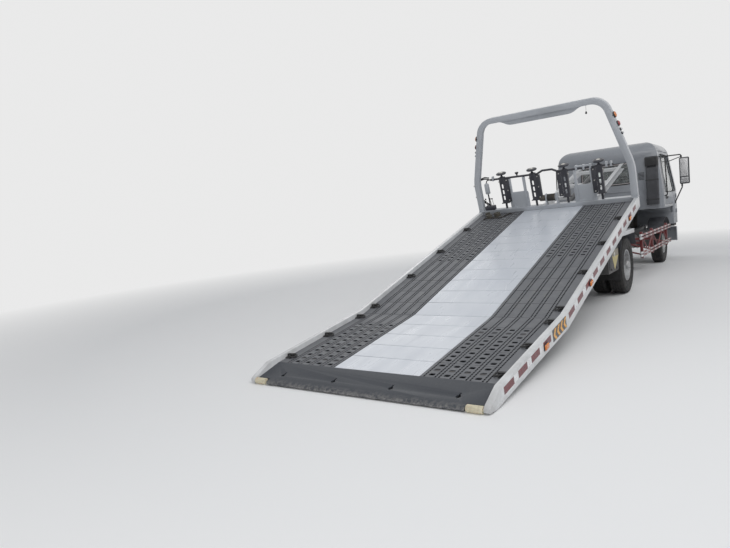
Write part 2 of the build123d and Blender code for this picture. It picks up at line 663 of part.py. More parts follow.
def lift_barrels():
    """Two barrels side by side on their chassis pins, tied by a cross tube."""
    pieces = []
    for side in (-1, 1):
        y = side * LIFT_Y
        points = [lift_point(d) for d in (0, 25, LIFT_BARREL_LENGTH, 60, LIFT_BARREL_LENGTH + 1)]
        base, start, mouth, bore_start, bore_end = [(px, y, pz) for px, pz in points]
        barrel = bar(start, mouth, LIFT_BARREL_RADIUS) - bar(bore_start, bore_end, LIFT_BORE)
        gland_point = lift_point(LIFT_BARREL_LENGTH - 30)
        gland_start = (gland_point[0], y, gland_point[1])
        gland = bar(gland_start, mouth, LIFT_BORE + 1) - bar(bore_start, bore_end, LIFT_ROD_RADIUS + RUNNING_GAP)
        eye = cross_pin(base[0], base[2], (y - 40, y + 40), 34)
        pieces.append(barrel + gland + eye - cross_pin(base[0], base[2], (y - 50, y + 50),
                                                       LIFT_PIN_RADIUS + RUNNING_GAP))
    tie_x, tie_z = lift_point(LIFT_TIE)
    pieces.append(cross_pin(tie_x, tie_z, (-LIFT_Y + LIFT_BORE + 2, LIFT_Y - LIFT_BORE - 2), 16))
    return joined(pieces)


def lift_rods():
    """Two rods with pistons and open eyes, tied by a bar below the eyes."""
    (base_x, base_z), (eye_x, eye_z) = lift_line()
    length = hypot(eye_x - base_x, eye_z - base_z)
    pieces = []
    for side in (-1, 1):
        y = side * LIFT_Y
        start_x, start_z = lift_point(LIFT_ROD_SEAT)
        piston_x, piston_z = lift_point(LIFT_ROD_SEAT + 40)
        end_x, end_z = lift_point(length - LIFT_EYE_BORE - 4)
        rod = bar((start_x, y, start_z), (end_x, y, end_z), LIFT_ROD_RADIUS)
        rod += bar((start_x, y, start_z), (piston_x, y, piston_z), LIFT_BORE - RUNNING_GAP)
        eye = cross_pin(eye_x, eye_z, (y - 30, y + 30), LIFT_EYE_RADIUS)
        pieces.append(rod + eye - cross_pin(eye_x, eye_z, (y - 35, y + 35), LIFT_EYE_BORE))
    return pieces


# Bed

END_BEAM_INSET = 100
MAIN_CROSS_U = (60, ROD_ANCHOR_U, 960, 1500, 2020, 2400, 2800, MAIN_LENGTH - END_BEAM_INSET)
REAR_BEAMS = 3
REAR_BEAM_PITCH = (REAR_LENGTH - 130) / REAR_BEAMS
BEAM_HALF = 25
HOOK_U = (2800, MAIN_LENGTH - END_BEAM_INSET)
SLOTTED_PLATES_REAR = 5
SLOTTED_PLATES_FRONT = 5
REAR_PLATE_PITCH = REAR_LENGTH / SLOTTED_PLATES_REAR
SILL_DEPTH = 80
SILL_HEIGHT = 60


def bent_plate(top, bottom, y):
    """Plate that follows both parts of the bed between two heights."""
    outline = [rear_point(-REAR_LENGTH, top), kink_point(top), main_point(MAIN_LENGTH, top),
               main_point(MAIN_LENGTH, bottom), kink_point(bottom), rear_point(-REAR_LENGTH, bottom)]
    return profile(outline, y)


def deck_centre():
    """Smooth middle strip of the deck."""
    return bent_plate(0, -DECK_THICKNESS, (-CENTRE_WIDTH / 2, CENTRE_WIDTH / 2))


def slot(u, y):
    """Cutter for one strap slot."""
    return Pos(u, y, -DECK_THICKNESS / 2) * Box(SLOT_WIDTH, SLOT_LENGTH, DECK_THICKNESS * 4)


def deck_track():
    """Left wheel track with its rows of strap slots at both ends."""
    plate = bent_plate(0, -DECK_THICKNESS, (CENTRE_WIDTH / 2, RAIL_INNER_Y))
    cutters = []
    plates = [(on_rear, -REAR_PLATE_PITCH * (index + 0.5)) for index in range(SLOTTED_PLATES_REAR)]
    front = MAIN_LENGTH - SILL_DEPTH
    plates += [(on_main, front - PLATE_PITCH * (index + 0.5)) for index in range(SLOTTED_PLATES_FRONT)]
    for place, middle in plates:
        for row in (-1, 0, 1):
            cutters += [place(slot(middle + row * SLOT_ROW_PITCH, y)) for y in SLOT_COLUMNS]
    return plate - cutters


def bed_frame():
    """Long beams, cross beams, slide hooks and the rod bracket under the deck."""
    under = -DECK_THICKNESS
    outline = [rear_point(-REAR_LENGTH + 60, under), kink_point(under), main_point(MAIN_LENGTH, under),
               main_point(MAIN_LENGTH, -LONG_BEAM_DEPTH), kink_point(-LONG_BEAM_DEPTH),
               rear_point(-REAR_LENGTH + 60, under - 75)]
    pieces = both(profile(outline, LONG_BEAM_Y))
    deep = under - CROSS_BEAM_HEIGHT
    for u in MAIN_CROSS_U:
        pieces.append(on_main(block((u - BEAM_HALF, u + BEAM_HALF), (-RAIL_INNER_Y, RAIL_INNER_Y), (deep, under))))
    for index in range(REAR_BEAMS):
        u = -REAR_BEAM_PITCH * (index + 1)
        beam = block((u - BEAM_HALF, u + BEAM_HALF), (-RAIL_INNER_Y, RAIL_INNER_Y), (deep + 20, under))
        pieces.append(on_rear(beam))
    bracket = block((ROD_ANCHOR_U - BEAM_HALF, ROD_ANCHOR_U + BEAM_HALF), (-40, 40), (SLIDE_AXIS_W - 30, deep + 1))
    pieces.append(on_main(bracket))
    return joined(pieces)


def slide_hooks():
    """Angle hooks bolted under the cross beams, round the tilt frame's flanges."""
    hook_out = TILT_RAIL_Y[1] + 4
    flange_under = -LONG_BEAM_DEPTH - SLIDE_GAP - 8
    pieces = []
    for u in HOOK_U:
        hook = block((u - 30, u + 30), (hook_out, hook_out + 10),
                     (flange_under - 17, -DECK_THICKNESS - CROSS_BEAM_HEIGHT))
        hook += block((u - 30, u + 30), (TILT_RAIL_Y[0] + 14, hook_out + 10),
                      (flange_under - 17, flange_under - 5))
        pieces += both(on_main(hook))
    return pieces


def side_rail():
    """Left rail, tapered at the tail."""
    stand = SIDE_RAIL_STAND
    drop = SIDE_RAIL_STAND - SIDE_RAIL_HEIGHT
    outline = [(TAIL_X + 12, 44), (TAIL_X + 34, 60), rear_point(-REAR_LENGTH - 106, stand), kink_point(stand),
               main_point(MAIN_LENGTH, stand), main_point(MAIN_LENGTH, drop), kink_point(drop),
               (TAIL_X + 120, 5), (TAIL_X + 12, 14)]
    return profile(outline, (RAIL_INNER_Y, BED_WIDTH / 2))


NOTCH_Y = 960
KEYHOLE_X = 132
KEYHOLE_Y = (285, 860)


def tail_lip():
    """Lip plate down to the ground with four keyholes, notched for the rollers."""
    start = rear_point(-REAR_LENGTH, 0)
    under = rear_point(-REAR_LENGTH, -10)
    wide = profile([start, (TAIL_X + 66, LIP_TIP_Z + (start[1] - LIP_TIP_Z) * 42 / (start[0] - TAIL_X - 24)),
                    (TAIL_X + 66, LIP_TIP_Z), under], (-RAIL_INNER_Y, RAIL_INNER_Y))
    nose = profile([start, (TAIL_X + 24, LIP_TIP_Z), (TAIL_X + 5, 14), (TAIL_X + 14, 8),
                    (TAIL_X + 34, LIP_TIP_Z - 10), (TAIL_X + 66, LIP_TIP_Z - 2), under], (-NOTCH_Y, NOTCH_Y))
    lip = wide + nose
    for y in KEYHOLE_Y:
        for side in (-1, 1):
            x = TAIL_X + KEYHOLE_X
            lip -= bar((x, side * y, 0), (x, side * y, 200), 19)
            lip -= block((x, x + 46), (side * y - 7, side * y + 7), (0, 200))
    return lip


def tail_rollers():
    """Roller at each tail corner, on a stub in the side rail."""
    y = (NOTCH_Y + 8, RAIL_INNER_Y - 0.3)
    roller = cross_pin(TAIL_X + ROLLER_RADIUS, ROLLER_RADIUS, y, ROLLER_RADIUS)
    return both(chamfer(roller.edges().filter_by(GeomType.CIRCLE), 3))


def arch():
    """Front sill and the tube arch over it, with the bare name panel."""
    u = MAIN_LENGTH - SILL_DEPTH / 2
    half = ARCH_TUBE / 2
    foot_y = BED_WIDTH / 2 - half
    foot_w = SIDE_RAIL_STAND
    top_w = foot_w + ARCH_HEIGHT - half
    shoulder_y = ARCH_SHOULDER_Y - half
    route = [(u, foot_y, foot_w), (u, foot_y, foot_w + ARCH_LEG + 90), (u, shoulder_y, top_w),
             (u, -shoulder_y, top_w), (u, -foot_y, foot_w + ARCH_LEG + 90), (u, -foot_y, foot_w)]
    path = FilletPolyline(*route, radius=[700, 215, 215, 700])
    section = Plane(origin=path @ 0, z_dir=path % 0, x_dir=(1, 0, 0)) * Rectangle(SILL_DEPTH, ARCH_TUBE)
    tube = sweep(section, path=path)
    sill = block((MAIN_LENGTH - SILL_DEPTH, MAIN_LENGTH), (-RAIL_INNER_Y, RAIL_INNER_Y), (0, SILL_HEIGHT))
    return on_main(tube + sill + arch_panel(u, top_w))


def arch_panel(u, top_w):
    """Bare name panel below the arch's top tube, with an S-curve at each end."""
    flat = SIDE_RAIL_STAND + ARCH_HEIGHT - FASCIA_DEPTH
    soffit = top_w - ARCH_TUBE / 2
    x = u - 12
    outer = FASCIA_HALF + FASCIA_SCALLOP
    middle = (FASCIA_HALF + FASCIA_SCALLOP / 2, (flat + soffit) / 2)
    edges = [Line((x, -FASCIA_HALF, flat), (x, FASCIA_HALF, flat)),
             Polyline((x, outer, soffit), (x, outer, top_w), (x, -outer, top_w), (x, -outer, soffit))]
    for side in (-1, 1):
        turn = (x, side * middle[0], middle[1])
        edges.append(TangentArc((x, side * FASCIA_HALF, flat), turn, tangent=(0, side, 0)))
        edges.append(TangentArc((x, side * outer, soffit), turn, tangent=(0, -side, 0)))
    return extrude(make_face(edges), amount=24, dir=(1, 0, 0))


def arch_side(height):
    """Outer y of the arch leg at a height above the rail top."""
    lean = (BED_WIDTH / 2 - ARCH_SHOULDER_Y) / (ARCH_HEIGHT - ARCH_LEG - 90)
    return BED_WIDTH / 2 - max(0, height - ARCH_LEG - 90) * lean


RACK_Y = 480
RACK_HALF = 150
RACK_UPRIGHT = 110
POST_Y = (230, 700)
POST_LOW_W = 150
POST_HALF = 42
POST_DEPTH = 54
POST_WALL = 6
POST_SLOTS = (232, 322, 412)
TOP_TUBE_W = 530
TOP_TUBE_END = 880
TOP_TUBE_RISE = 40
POST_HEAD_RADIUS = 75
SILL_MIDDLE_U = MAIN_LENGTH - SILL_DEPTH / 2


def racks():
    """Two folded plate racks with channel uprights on the sill."""
    u = SILL_MIDDLE_U
    plate = block((u - 4, u + 4), (RACK_Y - RACK_HALF, RACK_Y + RACK_HALF), (SILL_HEIGHT, 300))
    plate = fillet(plate.edges().filter_by(Axis.X).group_by(Axis.Z)[-1], 30)
    plate -= block((u - 5, u + 5), (RACK_Y - RACK_UPRIGHT + 40, RACK_Y + RACK_UPRIGHT - 40), (110, 250))
    for y in (RACK_Y - RACK_UPRIGHT, RACK_Y + RACK_UPRIGHT):
        upright = block((u - 15, u + 15), (y - 18, y + 18), (SILL_HEIGHT, TOP_TUBE_W - 15))
        upright -= block((u + 4, u + 16), (y - 13, y + 13), (SILL_HEIGHT + 25, TOP_TUBE_W - 40))
        plate += upright
    return [on_main(piece) for piece in both(plate)]


def stowed_post(y):
    """Slotted channel post with a foot plate, a stud and a round head."""
    u = SILL_MIDDLE_U
    top = TOP_TUBE_W + 22
    rear = u - POST_DEPTH / 2
    post = block((rear, rear + POST_DEPTH), (y - POST_HALF, y + POST_HALF), (POST_LOW_W, top))
    post -= block((rear + POST_WALL, rear + POST_DEPTH + 1), (y - POST_HALF + POST_WALL, y + POST_HALF - POST_WALL),
                  (POST_LOW_W + POST_WALL, top - POST_WALL))
    for w in POST_SLOTS:
        hole = Plane(origin=(rear - 1, y, w), x_dir=(0, 0, 1), z_dir=(1, 0, 0)) * SlotOverall(66, 24)
        post -= extrude(hole, amount=POST_WALL + 2)
    post += block((rear, rear + POST_DEPTH), (y - 62, y + 62), (POST_LOW_W - 8, POST_LOW_W + 2))
    post += bar((u, y, SILL_HEIGHT), (u, y, POST_LOW_W), 16)
    neck = revolve(Plane.XZ * make_face(Polyline((0, 0), (30, 0), (14, 20), (14, 46), (0, 46), close=True)),
                   axis=Axis.Z)
    head = Cylinder(POST_HEAD_RADIUS, 30, align=(Align.CENTER, Align.CENTER, Align.MIN))
    head = chamfer(head.edges().filter_by(GeomType.CIRCLE), 11)
    return post + Pos(u, y, top - 2) * neck + Pos(u, y, top + 38) * head


def stowed_posts():
    """Four posts on a tube along the racks, which steps up over the winch."""
    u = SILL_MIDDLE_U
    high = TOP_TUBE_W + TOP_TUBE_RISE
    path = FilletPolyline((u, TOP_TUBE_END, TOP_TUBE_W), (u, 160, TOP_TUBE_W), (u, 80, high), (u, -60, high),
                          (u, -140, TOP_TUBE_W), (u, -TOP_TUBE_END, TOP_TUBE_W), radius=35)
    tube = sweep(Plane(origin=path @ 0, z_dir=path % 0) * Circle(15), path=path)
    pieces = [tube]
    for y in POST_Y:
        pieces += both(stowed_post(y))
    return [on_main(joined(pieces))]


WINCH_W = 160
DRUM_RADIUS = 36


def winch():
    """Small drum winch at the middle of the sill."""
    u = SILL_MIDDLE_U
    cheek = Polyline((u - 38, 70, SILL_HEIGHT), (u + 38, 70, SILL_HEIGHT), (u + 30, 70, WINCH_W + 58),
                     (u - 22, 70, WINCH_W + 58), close=True)
    drum = cross_pin(u, WINCH_W, (-90, 90), 14) + cross_pin(u, WINCH_W, (-60, 60), DRUM_RADIUS)
    for side in (-1, 1):
        drum += cross_pin(u, WINCH_W, sorted((side * 60, side * 66)), DRUM_RADIUS + 18)
    plates = both(extrude(make_face(cheek), amount=20, dir=(0, 1, 0)))
    return on_main(joined([drum] + plates))


RING_HOLE_RADIUS = 9
RING_HOLE_INSET = 40
RING_U = (-1252, -687, -125, 175, 1028, 1861, 2740)


def lashing_rings():
    """Lashing eyes inside both rails."""
    pieces = []
    for u in RING_U:
        eye = block((u - 40, u + 40), (RAIL_INNER_Y - 62, RAIL_INNER_Y - 0.3), (0.3, 8))
        eye += block((u - 12, u + 12), (RAIL_INNER_Y - 70, RAIL_INNER_Y - 10), (6, 34))
        hole_y = RAIL_INNER_Y - RING_HOLE_INSET
        eye -= bar((u - 20, hole_y, 20), (u + 20, hole_y, 20), RING_HOLE_RADIUS)
        place = on_rear if u < 0 else on_main
        pieces += both(place(eye))
    return pieces


LAMP_U = (-582, 847, 2837)
ARCH_LAMPS = ((1133, 42), (1012, 38), (932, 20), (880, 18))


def bed_lamps():
    """Marker lamps on the rails and round lamps on the arch legs."""
    pieces = []
    out = BED_WIDTH / 2
    for u in LAMP_U:
        lamp = block((u - 45, u + 45), (out, out + 22), (SIDE_RAIL_STAND - 100, SIDE_RAIL_STAND - 50))
        place = on_rear if u < 0 else on_main
        pieces += both(place(lamp))
    u = MAIN_LENGTH - SILL_DEPTH / 2
    hoop = arch()
    for height, radius in ARCH_LAMPS:
        y = arch_side(height)
        w = SIDE_RAIL_STAND + height
        lamp = bar((u, y - 20, w), (u, y + 20, w), radius) + bar((u, y + 19, w), (u, y + 30, w), radius - 7)
        pieces += both(on_main(lamp) - hoop)
    return pieces


# Cab
GUTTER_Z = 2080
CAB_BROW_X = 380
CAB_HEADER = (637, 2140)
CAB_SCREEN_FOOT = (940, 1350)
CAB_SHIN = (1035, 1165)
CAB_CHIN_Z = 930
CAB_CORNER_RADIUS = 110
CORNER_CREASE = 6


def cab_section(inset):
    """Prism along X of the cab's front outline, moved inwards by a distance."""
    half = CAB_HALF_WIDTH - inset
    roof = CAB_ROOF_Z - inset
    x = CAB_REAR_X - 250
    edges = [Line((x, 320 - half, roof + 1), (x, half - 320, roof + 1)),
             Line((x, -half, 500), (x, half, 500))]
    for side in (-1, 1):
        gutter = (x, side * (half - 80), GUTTER_Z)
        edges.append(Polyline((x, side * half, 500), (x, side * half, CAB_WAIST_Z), gutter))
        edges.append(ThreePointArc(gutter, (x, side * (half - 158), roof - 55), (x, side * (half - 320), roof + 1)))
    return extrude(make_face(edges), amount=2200, dir=(1, 0, 0))


def cab_form(inset):
    """Solid of the cab's outer form, moved inwards by a distance."""
    rear = CAB_REAR_X + inset
    roof = CAB_ROOF_Z - inset
    nose = CAB_FRONT_X - inset
    far = CAB_HALF_WIDTH + 100
    back = (rear, -far, roof - 170)
    crown = (rear + 170, -far, roof)
    brow = (CAB_BROW_X - inset / 2, -far, roof)
    header = (CAB_HEADER[0] - inset, -far, CAB_HEADER[1] - inset / 2)
    sill = (CAB_SCREEN_FOOT[0] - inset, -far, CAB_SCREEN_FOOT[1])
    chin = (nose, -far, CAB_CHIN_Z)
    floor = [(nose, CAB_SKIRT_Z + inset), (FOOTWELL_X + inset, CAB_SKIRT_Z + inset),
             (FOOTWELL_X + inset, CAB_FLOOR_Z + inset), (rear, CAB_FLOOR_Z + inset)]
    edges = [ThreePointArc(back, (rear + 58, -far, roof - 58), crown), Line(crown, brow),
             TangentArc(brow, header, tangent=(1, 0, 0)), Line(header, sill),
             ThreePointArc(sill, (CAB_SHIN[0] - inset, -far, CAB_SHIN[1]), chin),
             Polyline(chin, *[(px, -far, pz) for px, pz in floor], back)]
    body = extrude(make_face(edges), amount=2 * far, dir=(0, 1, 0))
    body = body & cab_section(inset)
    half = CAB_HALF_WIDTH - inset
    plan_rear = rear - CORNER_CREASE
    plan = RectangleRounded(nose - plan_rear, 2 * half, CAB_CORNER_RADIUS)
    plan_solid = Pos((nose + plan_rear) / 2, 0, 400) * extrude(plan, amount=2100)
    bow_radius = 3600
    bow = bar((nose - bow_radius, 0, 400), (nose - bow_radius, 0, 2500), bow_radius)
    return body & plan_solid & bow


WINDSCREEN = ((-800, 1330), (-800, 1390), (-700, 2090), (700, 2090), (800, 1390), (800, 1330))
REAR_WINDOW = (-450, 450, 1550, 1940)
SIDE_WINDOW = ((730, 1340), (730, 1420), (500, 2030), (-310, 2040), (-310, 1340))
DOOR_LINE = ((810, 820), (810, 1400), (570, 2100), (-390, 2110), (-390, 1110), (440, 1110), (540, 820))


def window_cutters():
    """Prisms of the front and rear windows."""
    front = Polyline(*[(400, py, pz) for py, pz in WINDSCREEN], close=True)
    front_cut = extrude(make_face(front), amount=800, dir=(1, 0, 0))
    y0, y1, z0, z1 = REAR_WINDOW
    rear_sketch = RectangleRounded(y1 - y0, z1 - z0, 70)
    rear_cut = Plane(origin=(CAB_REAR_X - 50, (y0 + y1) / 2, (z0 + z1) / 2), x_dir=(0, 1, 0), z_dir=(1, 0, 0))
    return front_cut, extrude(rear_cut * rear_sketch, amount=200)


def side_prism(points, grow=0):
    """Prism of an outline on the left side of the cab."""
    face = make_face(Polyline(*[(px, 500, pz) for px, pz in points], close=True))
    if grow:
        face = offset(face, amount=grow, kind=Kind.INTERSECTION)
    return extrude(face, amount=600, dir=(0, 1, 0))


def hinge_parts():
    """Door-hinge barrels with their leaves: the door's and the cab's."""
    x, y = DOOR_HINGE
    door = []
    cab = []
    for z in (950, 1250):
        door.append(bar((x, y, z), (x, y, z + 36), 9))
        door.append(block((x - 60, x - 4), (y - 13, y - 5), (z, z + 36)))
        cab.append(bar((x, y, z - 36.4), (x, y, z - 0.4), 9))
        cab.append(block((x + 4, x + 60), (y - 13, y - 5), (z - 36.4, z - 0.4)))
    return joined(door[:2]), joined(door[2:]), joined(cab[:2]), joined(cab[2:])


DOOR_HINGE = (816, CAB_HALF_WIDTH + 12)


def cab_parts():
    """Shell, windows, doors and their glass, all cut from the same form."""
    shell = cab_form(0) - cab_form(CAB_WALL)
    front_cut, rear_cut = window_cutters()
    skin = cab_form(18) - cab_form(18 + GLASS_THICKNESS)
    glass = [skin & front_cut, skin & rear_cut]
    shell = shell - front_cut - rear_cut - block(*GRILLE_BOX)
    for lamp_room in both(block(*HEADLAMP_BOX)):
        shell -= lamp_room
    door_cut = side_prism(DOOR_LINE) - cab_section(CAB_WALL)
    room = side_prism(DOOR_LINE, DOOR_GAP) - cab_section(CAB_WALL + DOOR_GAP)
    glass_cut = side_prism(SIDE_WINDOW)
    half_shell = shell & block((CAB_REAR_X - 150, CAB_FRONT_X + 170), (500, 1200), (500, 2400))
    door = (half_shell & door_cut) - glass_cut
    door_glass = skin & glass_cut
    shell = shell - room - mirrored(room)
    low_a, high_a, low_b, high_b = hinge_parts()
    door = door + low_a + high_a
    shell = shell + low_b + high_b + mirrored(low_b) + mirrored(high_b)
    hinge_x, hinge_z = CAB_HINGE
    for side in (-1, 1):
        y = sorted((side * (RAIL_OUTER_Y + 20), side * (RAIL_OUTER_Y + 50)))
        ear = cross_pin(hinge_x, hinge_z, y, 26)
        ear += block((hinge_x - 26, hinge_x + 26), y, (hinge_z, hinge_z + 40))
        shell = (shell + ear) - cross_pin(hinge_x, hinge_z, (y[0] - 2, y[1] + 2), 14 + RUNNING_GAP)
        shell -= cross_pin(hinge_x, hinge_z, sorted((side * (RAIL_OUTER_Y - 10), side * (RAIL_OUTER_Y + 20))), 60)
        shell -= cross_pin(hinge_x, hinge_z, sorted((side * (RAIL_OUTER_Y + 50), side * (RAIL_OUTER_Y + 66))), 30)
    return shell, glass, door, door_glass


WHEEL_HUB = (360, 430, 1375)
COLUMN_FOOT = (670, 1150)


def dashboard():
    """Dashboard with the steering column and wheel."""
    board = profile([(970, 1340), (810, 1330), (550, 1290), (510, 1180), (580, 1100), (1050, 1100)],
                    (-850, 850)) & cab_form(CAB_WALL + SEAT_GAP)
    x, y, z = WHEEL_HUB
    foot_x, foot_z = COLUMN_FOOT
    column = bar((foot_x, y, foot_z), (x + 2, y, z - 2), 28)
    tilt = Plane(origin=WHEEL_HUB, z_dir=(x - foot_x, 0, z - foot_z))
    wheel = tilt * Torus(215, 15)
    hub = tilt * Cylinder(45, 30)
    spokes = [tilt * (Rot(0, 0, angle) * (Pos(105, 0, 0) * Box(215, 34, 12))) for angle in (90, 210, 330)]
    return joined([board, column, wheel, hub] + spokes)


def seats():
    """Driver's seat and the double passenger seat."""
    pieces = []
    floor = CAB_FLOOR_Z + CAB_WALL
    for y in ((180, 680), (-720, 80)):
        base = fillet(block((-350, 150), y, (floor + 90, floor + 230)).edges().filter_by(Axis.Y), 40)
        back = profile([(-490, floor + 200), (-370, floor + 200), (-420, floor + 880), (-520, floor + 880)], y)
        plinth = block((-310, 110), (y[0] + 30, y[1] - 30), (floor, floor + 100))
        pieces.append(joined([plinth, base, back + block((-380, -330), y, (floor + 205, floor + 225))]))
    return pieces


NOSE_X = (750, 1150)
GRILLE_BOX = (NOSE_X, (-430, 430), (800, 1000))
HEADLAMP_BOX = (NOSE_X, (560, 830), (760, 930))


def grille():
    """Slatted grille panel that follows the cab's bowed front."""
    panel = (cab_form(0) - cab_form(25)) & block(*GRILLE_BOX)
    for z in (840, 890, 940):
        panel -= block(NOSE_X, (-400, 400), (z, z + 24))
    return panel


def headlamps():
    """Headlamp each side of the grille, flush with the cab's front."""
    return both((cab_form(0) - cab_form(60)) & block(*HEADLAMP_BOX))


DUCT_DEPTH = 85
DUCT_Y = (-900, -700)
DUCT_Z = (1130, 2000)


def intake_duct():
    """Upright air intake on the right of the cab's rear wall."""
    rear = CAB_REAR_X - DUCT_DEPTH
    duct = fillet(block((rear, CAB_REAR_X), DUCT_Y, DUCT_Z).edges().filter_by(Axis.Z), 25)
    return duct - block((rear - 1, rear + 40), (DUCT_Y[0] + 25, DUCT_Y[1] - 25), (DUCT_Z[1] - 200, DUCT_Z[1] - 40))


MIRROR_POST = (810, 1090)
MIRROR_ARM_Z = (1400, 1860)


def mirror_arm():
    """Left mirror on its bent arm, footed on the door's front frame."""
    x, y = MIRROR_POST
    low, high = MIRROR_ARM_Z
    arm = bar((594, 870, 1900), (x, y, high), 12) + bar((750, 940, 1110), (x, y, low), 12)
    arm += bar((x, y, low), (x, y, high), 10)
    for z in (low, high):
        arm += Pos(x, y, z) * Sphere(17)
    housing = fillet(block((x - 30, x + 40), (1050, 1230), (1460, 1780)).edges().filter_by(Axis.X), 30)
    return (arm + housing) - cab_section(0)


def build_all():
    """Every node with its pieces."""
    nodes = {}
    nodes["chassis_frame"] = [chassis_frame()]
    nodes["subframe"] = subframe()
    nodes["front_axle"] = [front_axle()]
    nodes["rear_axle"] = [rear_axle()]
    nodes["drive_line"] = [drive_line()]
    nodes["engine_block"] = engine_block()
    nodes["fuel_tank"] = [fuel_tank()]
    nodes["battery_box"] = battery_box()
    nodes["side_guards"] = side_guards()
    nodes["mudguards"] = mudguards()
    nodes["toolboxes"] = toolboxes()
    nodes["rear_lamp_bar"] = [rear_lamp_bar()]
    nodes["front_bumper"] = [front_bumper()]
    left = knuckle()
    nodes["knuckle_left"] = [left]
    nodes["knuckle_right"] = [mirrored(left)]
    front_tyre = tyre(WHEELBASE, FRONT_TRACK / 2)
    rear_tyres = [tyre(0, (REAR_TRACK + side * DUAL_SPACING) / 2) for side in (-1, 1)]
    front_disc = front_rim()
    rear_disc = rear_rim()
    nodes["tyre_front_left"] = [front_tyre]
    nodes["tyre_front_right"] = [mirrored(front_tyre)]
    nodes["rim_front_left"] = [front_disc]
    nodes["rim_front_right"] = [mirrored(front_disc)]
    nodes["tyres_rear_left"] = rear_tyres
    nodes["tyres_rear_right"] = [mirrored(piece) for piece in rear_tyres]
    nodes["rims_rear_left"] = [rear_disc]
    nodes["rims_rear_right"] = [mirrored(rear_disc)]
    nodes["tilt_frame"] = [tilt_frame()]
    nodes["slide_barrel"] = [slide_barrel()]
    nodes["slide_rod"] = [slide_rod()]
    nodes["lift_barrels"] = [lift_barrels()]
    nodes["lift_rods"] = lift_rods()
    nodes["deck_centre"] = [deck_centre()]
    track = deck_track()
    nodes["deck_track_left"] = [track]
    nodes["deck_track_right"] = [mirrored(track)]
    nodes["bed_frame"] = [bed_frame()]
    nodes["slide_hooks"] = slide_hooks()
    nodes["side_rails"] = both(side_rail())
    nodes["tail_lip"] = [tail_lip()]
    nodes["tail_rollers"] = tail_rollers()
    nodes["arch"] = [arch()]
    nodes["racks"] = racks()
    nodes["stowed_posts"] = stowed_posts()
    nodes["winch"] = [winch()]
    nodes["lashing_eyes"] = lashing_rings()
    nodes["bed_lamps"] = bed_lamps()
    shell, glass, door, door_glass = cab_parts()
    mirror_piece = mirror_arm()
    cab = {"cab_shell": [shell], "cab_glass": glass, "dashboard": [dashboard()], "seats": seats(),
           "grille": [grille()], "headlamps": headlamps(), "intake_duct": [intake_duct()],
           "door_left": [door], "door_right": [mirrored(door)],
           "door_glass_left": [door_glass], "door_glass_right": [mirrored(door_glass)],
           "mirror_left": [mirror_piece], "mirror_right": [mirrored(mirror_piece)]}
    for name, pieces in cab.items():
        nodes[name] = [on_front(piece) for piece in pieces]
    return nodes


def write_node(name, pieces):
    """Write the solids of one node, moved so that the truck's middle is at x = 0."""
    solids = []
    for piece in pieces:
        solids += piece.solids()
    placed = [Pos(-MIDDLE_X, 0, 0) * solid for solid in solids]
    shape = placed[0] if len(placed) == 1 else Compound(children=placed)
    shape.label = name
    export_step(shape, f"parts/{name}.step")


os.makedirs("parts", exist_ok=True)
for node_name, node_pieces in build_all().items():
    write_node(node_name, node_pieces)
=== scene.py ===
"""Looks of the flatbed tow truck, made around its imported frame.

Row frame in metres: +X towards the cab's front, +Y to the driver's left, +Z up.
Bed axes: u runs forward along the deck from the bend, y is shared, and w is square
to the deck with 0 at its top face.
"""
import json
import math

import bmesh
import bpy
from mathutils import Matrix, Vector
from mathutils.bvhtree import BVHTree

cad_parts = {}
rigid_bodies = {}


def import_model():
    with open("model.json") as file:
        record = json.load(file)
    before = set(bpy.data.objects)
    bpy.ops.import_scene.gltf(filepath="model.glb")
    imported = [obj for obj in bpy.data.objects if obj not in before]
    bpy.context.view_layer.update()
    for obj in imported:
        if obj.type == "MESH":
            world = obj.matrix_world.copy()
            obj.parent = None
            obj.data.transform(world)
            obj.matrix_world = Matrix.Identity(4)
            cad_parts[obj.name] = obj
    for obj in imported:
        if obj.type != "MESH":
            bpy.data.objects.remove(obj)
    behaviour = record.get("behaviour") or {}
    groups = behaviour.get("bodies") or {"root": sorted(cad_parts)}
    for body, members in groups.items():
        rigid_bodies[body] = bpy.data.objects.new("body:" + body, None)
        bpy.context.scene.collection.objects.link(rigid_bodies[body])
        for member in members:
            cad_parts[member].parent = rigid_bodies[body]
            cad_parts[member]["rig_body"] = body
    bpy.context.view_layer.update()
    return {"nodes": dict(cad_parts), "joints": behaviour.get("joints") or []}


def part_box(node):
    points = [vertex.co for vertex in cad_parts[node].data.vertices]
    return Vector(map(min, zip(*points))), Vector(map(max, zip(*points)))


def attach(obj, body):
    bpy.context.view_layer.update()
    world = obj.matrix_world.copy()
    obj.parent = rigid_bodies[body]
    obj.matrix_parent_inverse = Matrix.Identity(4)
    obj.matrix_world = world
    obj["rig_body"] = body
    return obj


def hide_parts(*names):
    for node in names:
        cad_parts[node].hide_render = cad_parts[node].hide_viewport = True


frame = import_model()

SIDES = ((1, "left"), (-1, "right"))
QUARTER = math.pi / 2


# Places and ranges

def turned(place, angle, axis):
    """Matrix at a place, turned about one axis."""
    return Matrix.Translation(place) @ Matrix.Rotation(angle, 4, axis)


def facing(place, side):
    """Matrix at a place with Z pointing out of the truck on that side."""
    return turned(place, -side * QUARTER, "X")


def span(side, inner, outer):
    """Range of y between two distances from the middle, on one side."""
    return sorted((side * inner, side * outer))


def about(middle, half):
    """Range round a middle."""
    return middle - half, middle + half


def near(base, low, high):
    """Range at two offsets from a base."""
    return base + low, base + high


def circle(count, start=0):
    """Even angles of a full turn; start shifts them by a share of one step."""
    return [2 * math.pi * (index + start) / count for index in range(count)]


# Bed, from the frame and the deck's own sizes

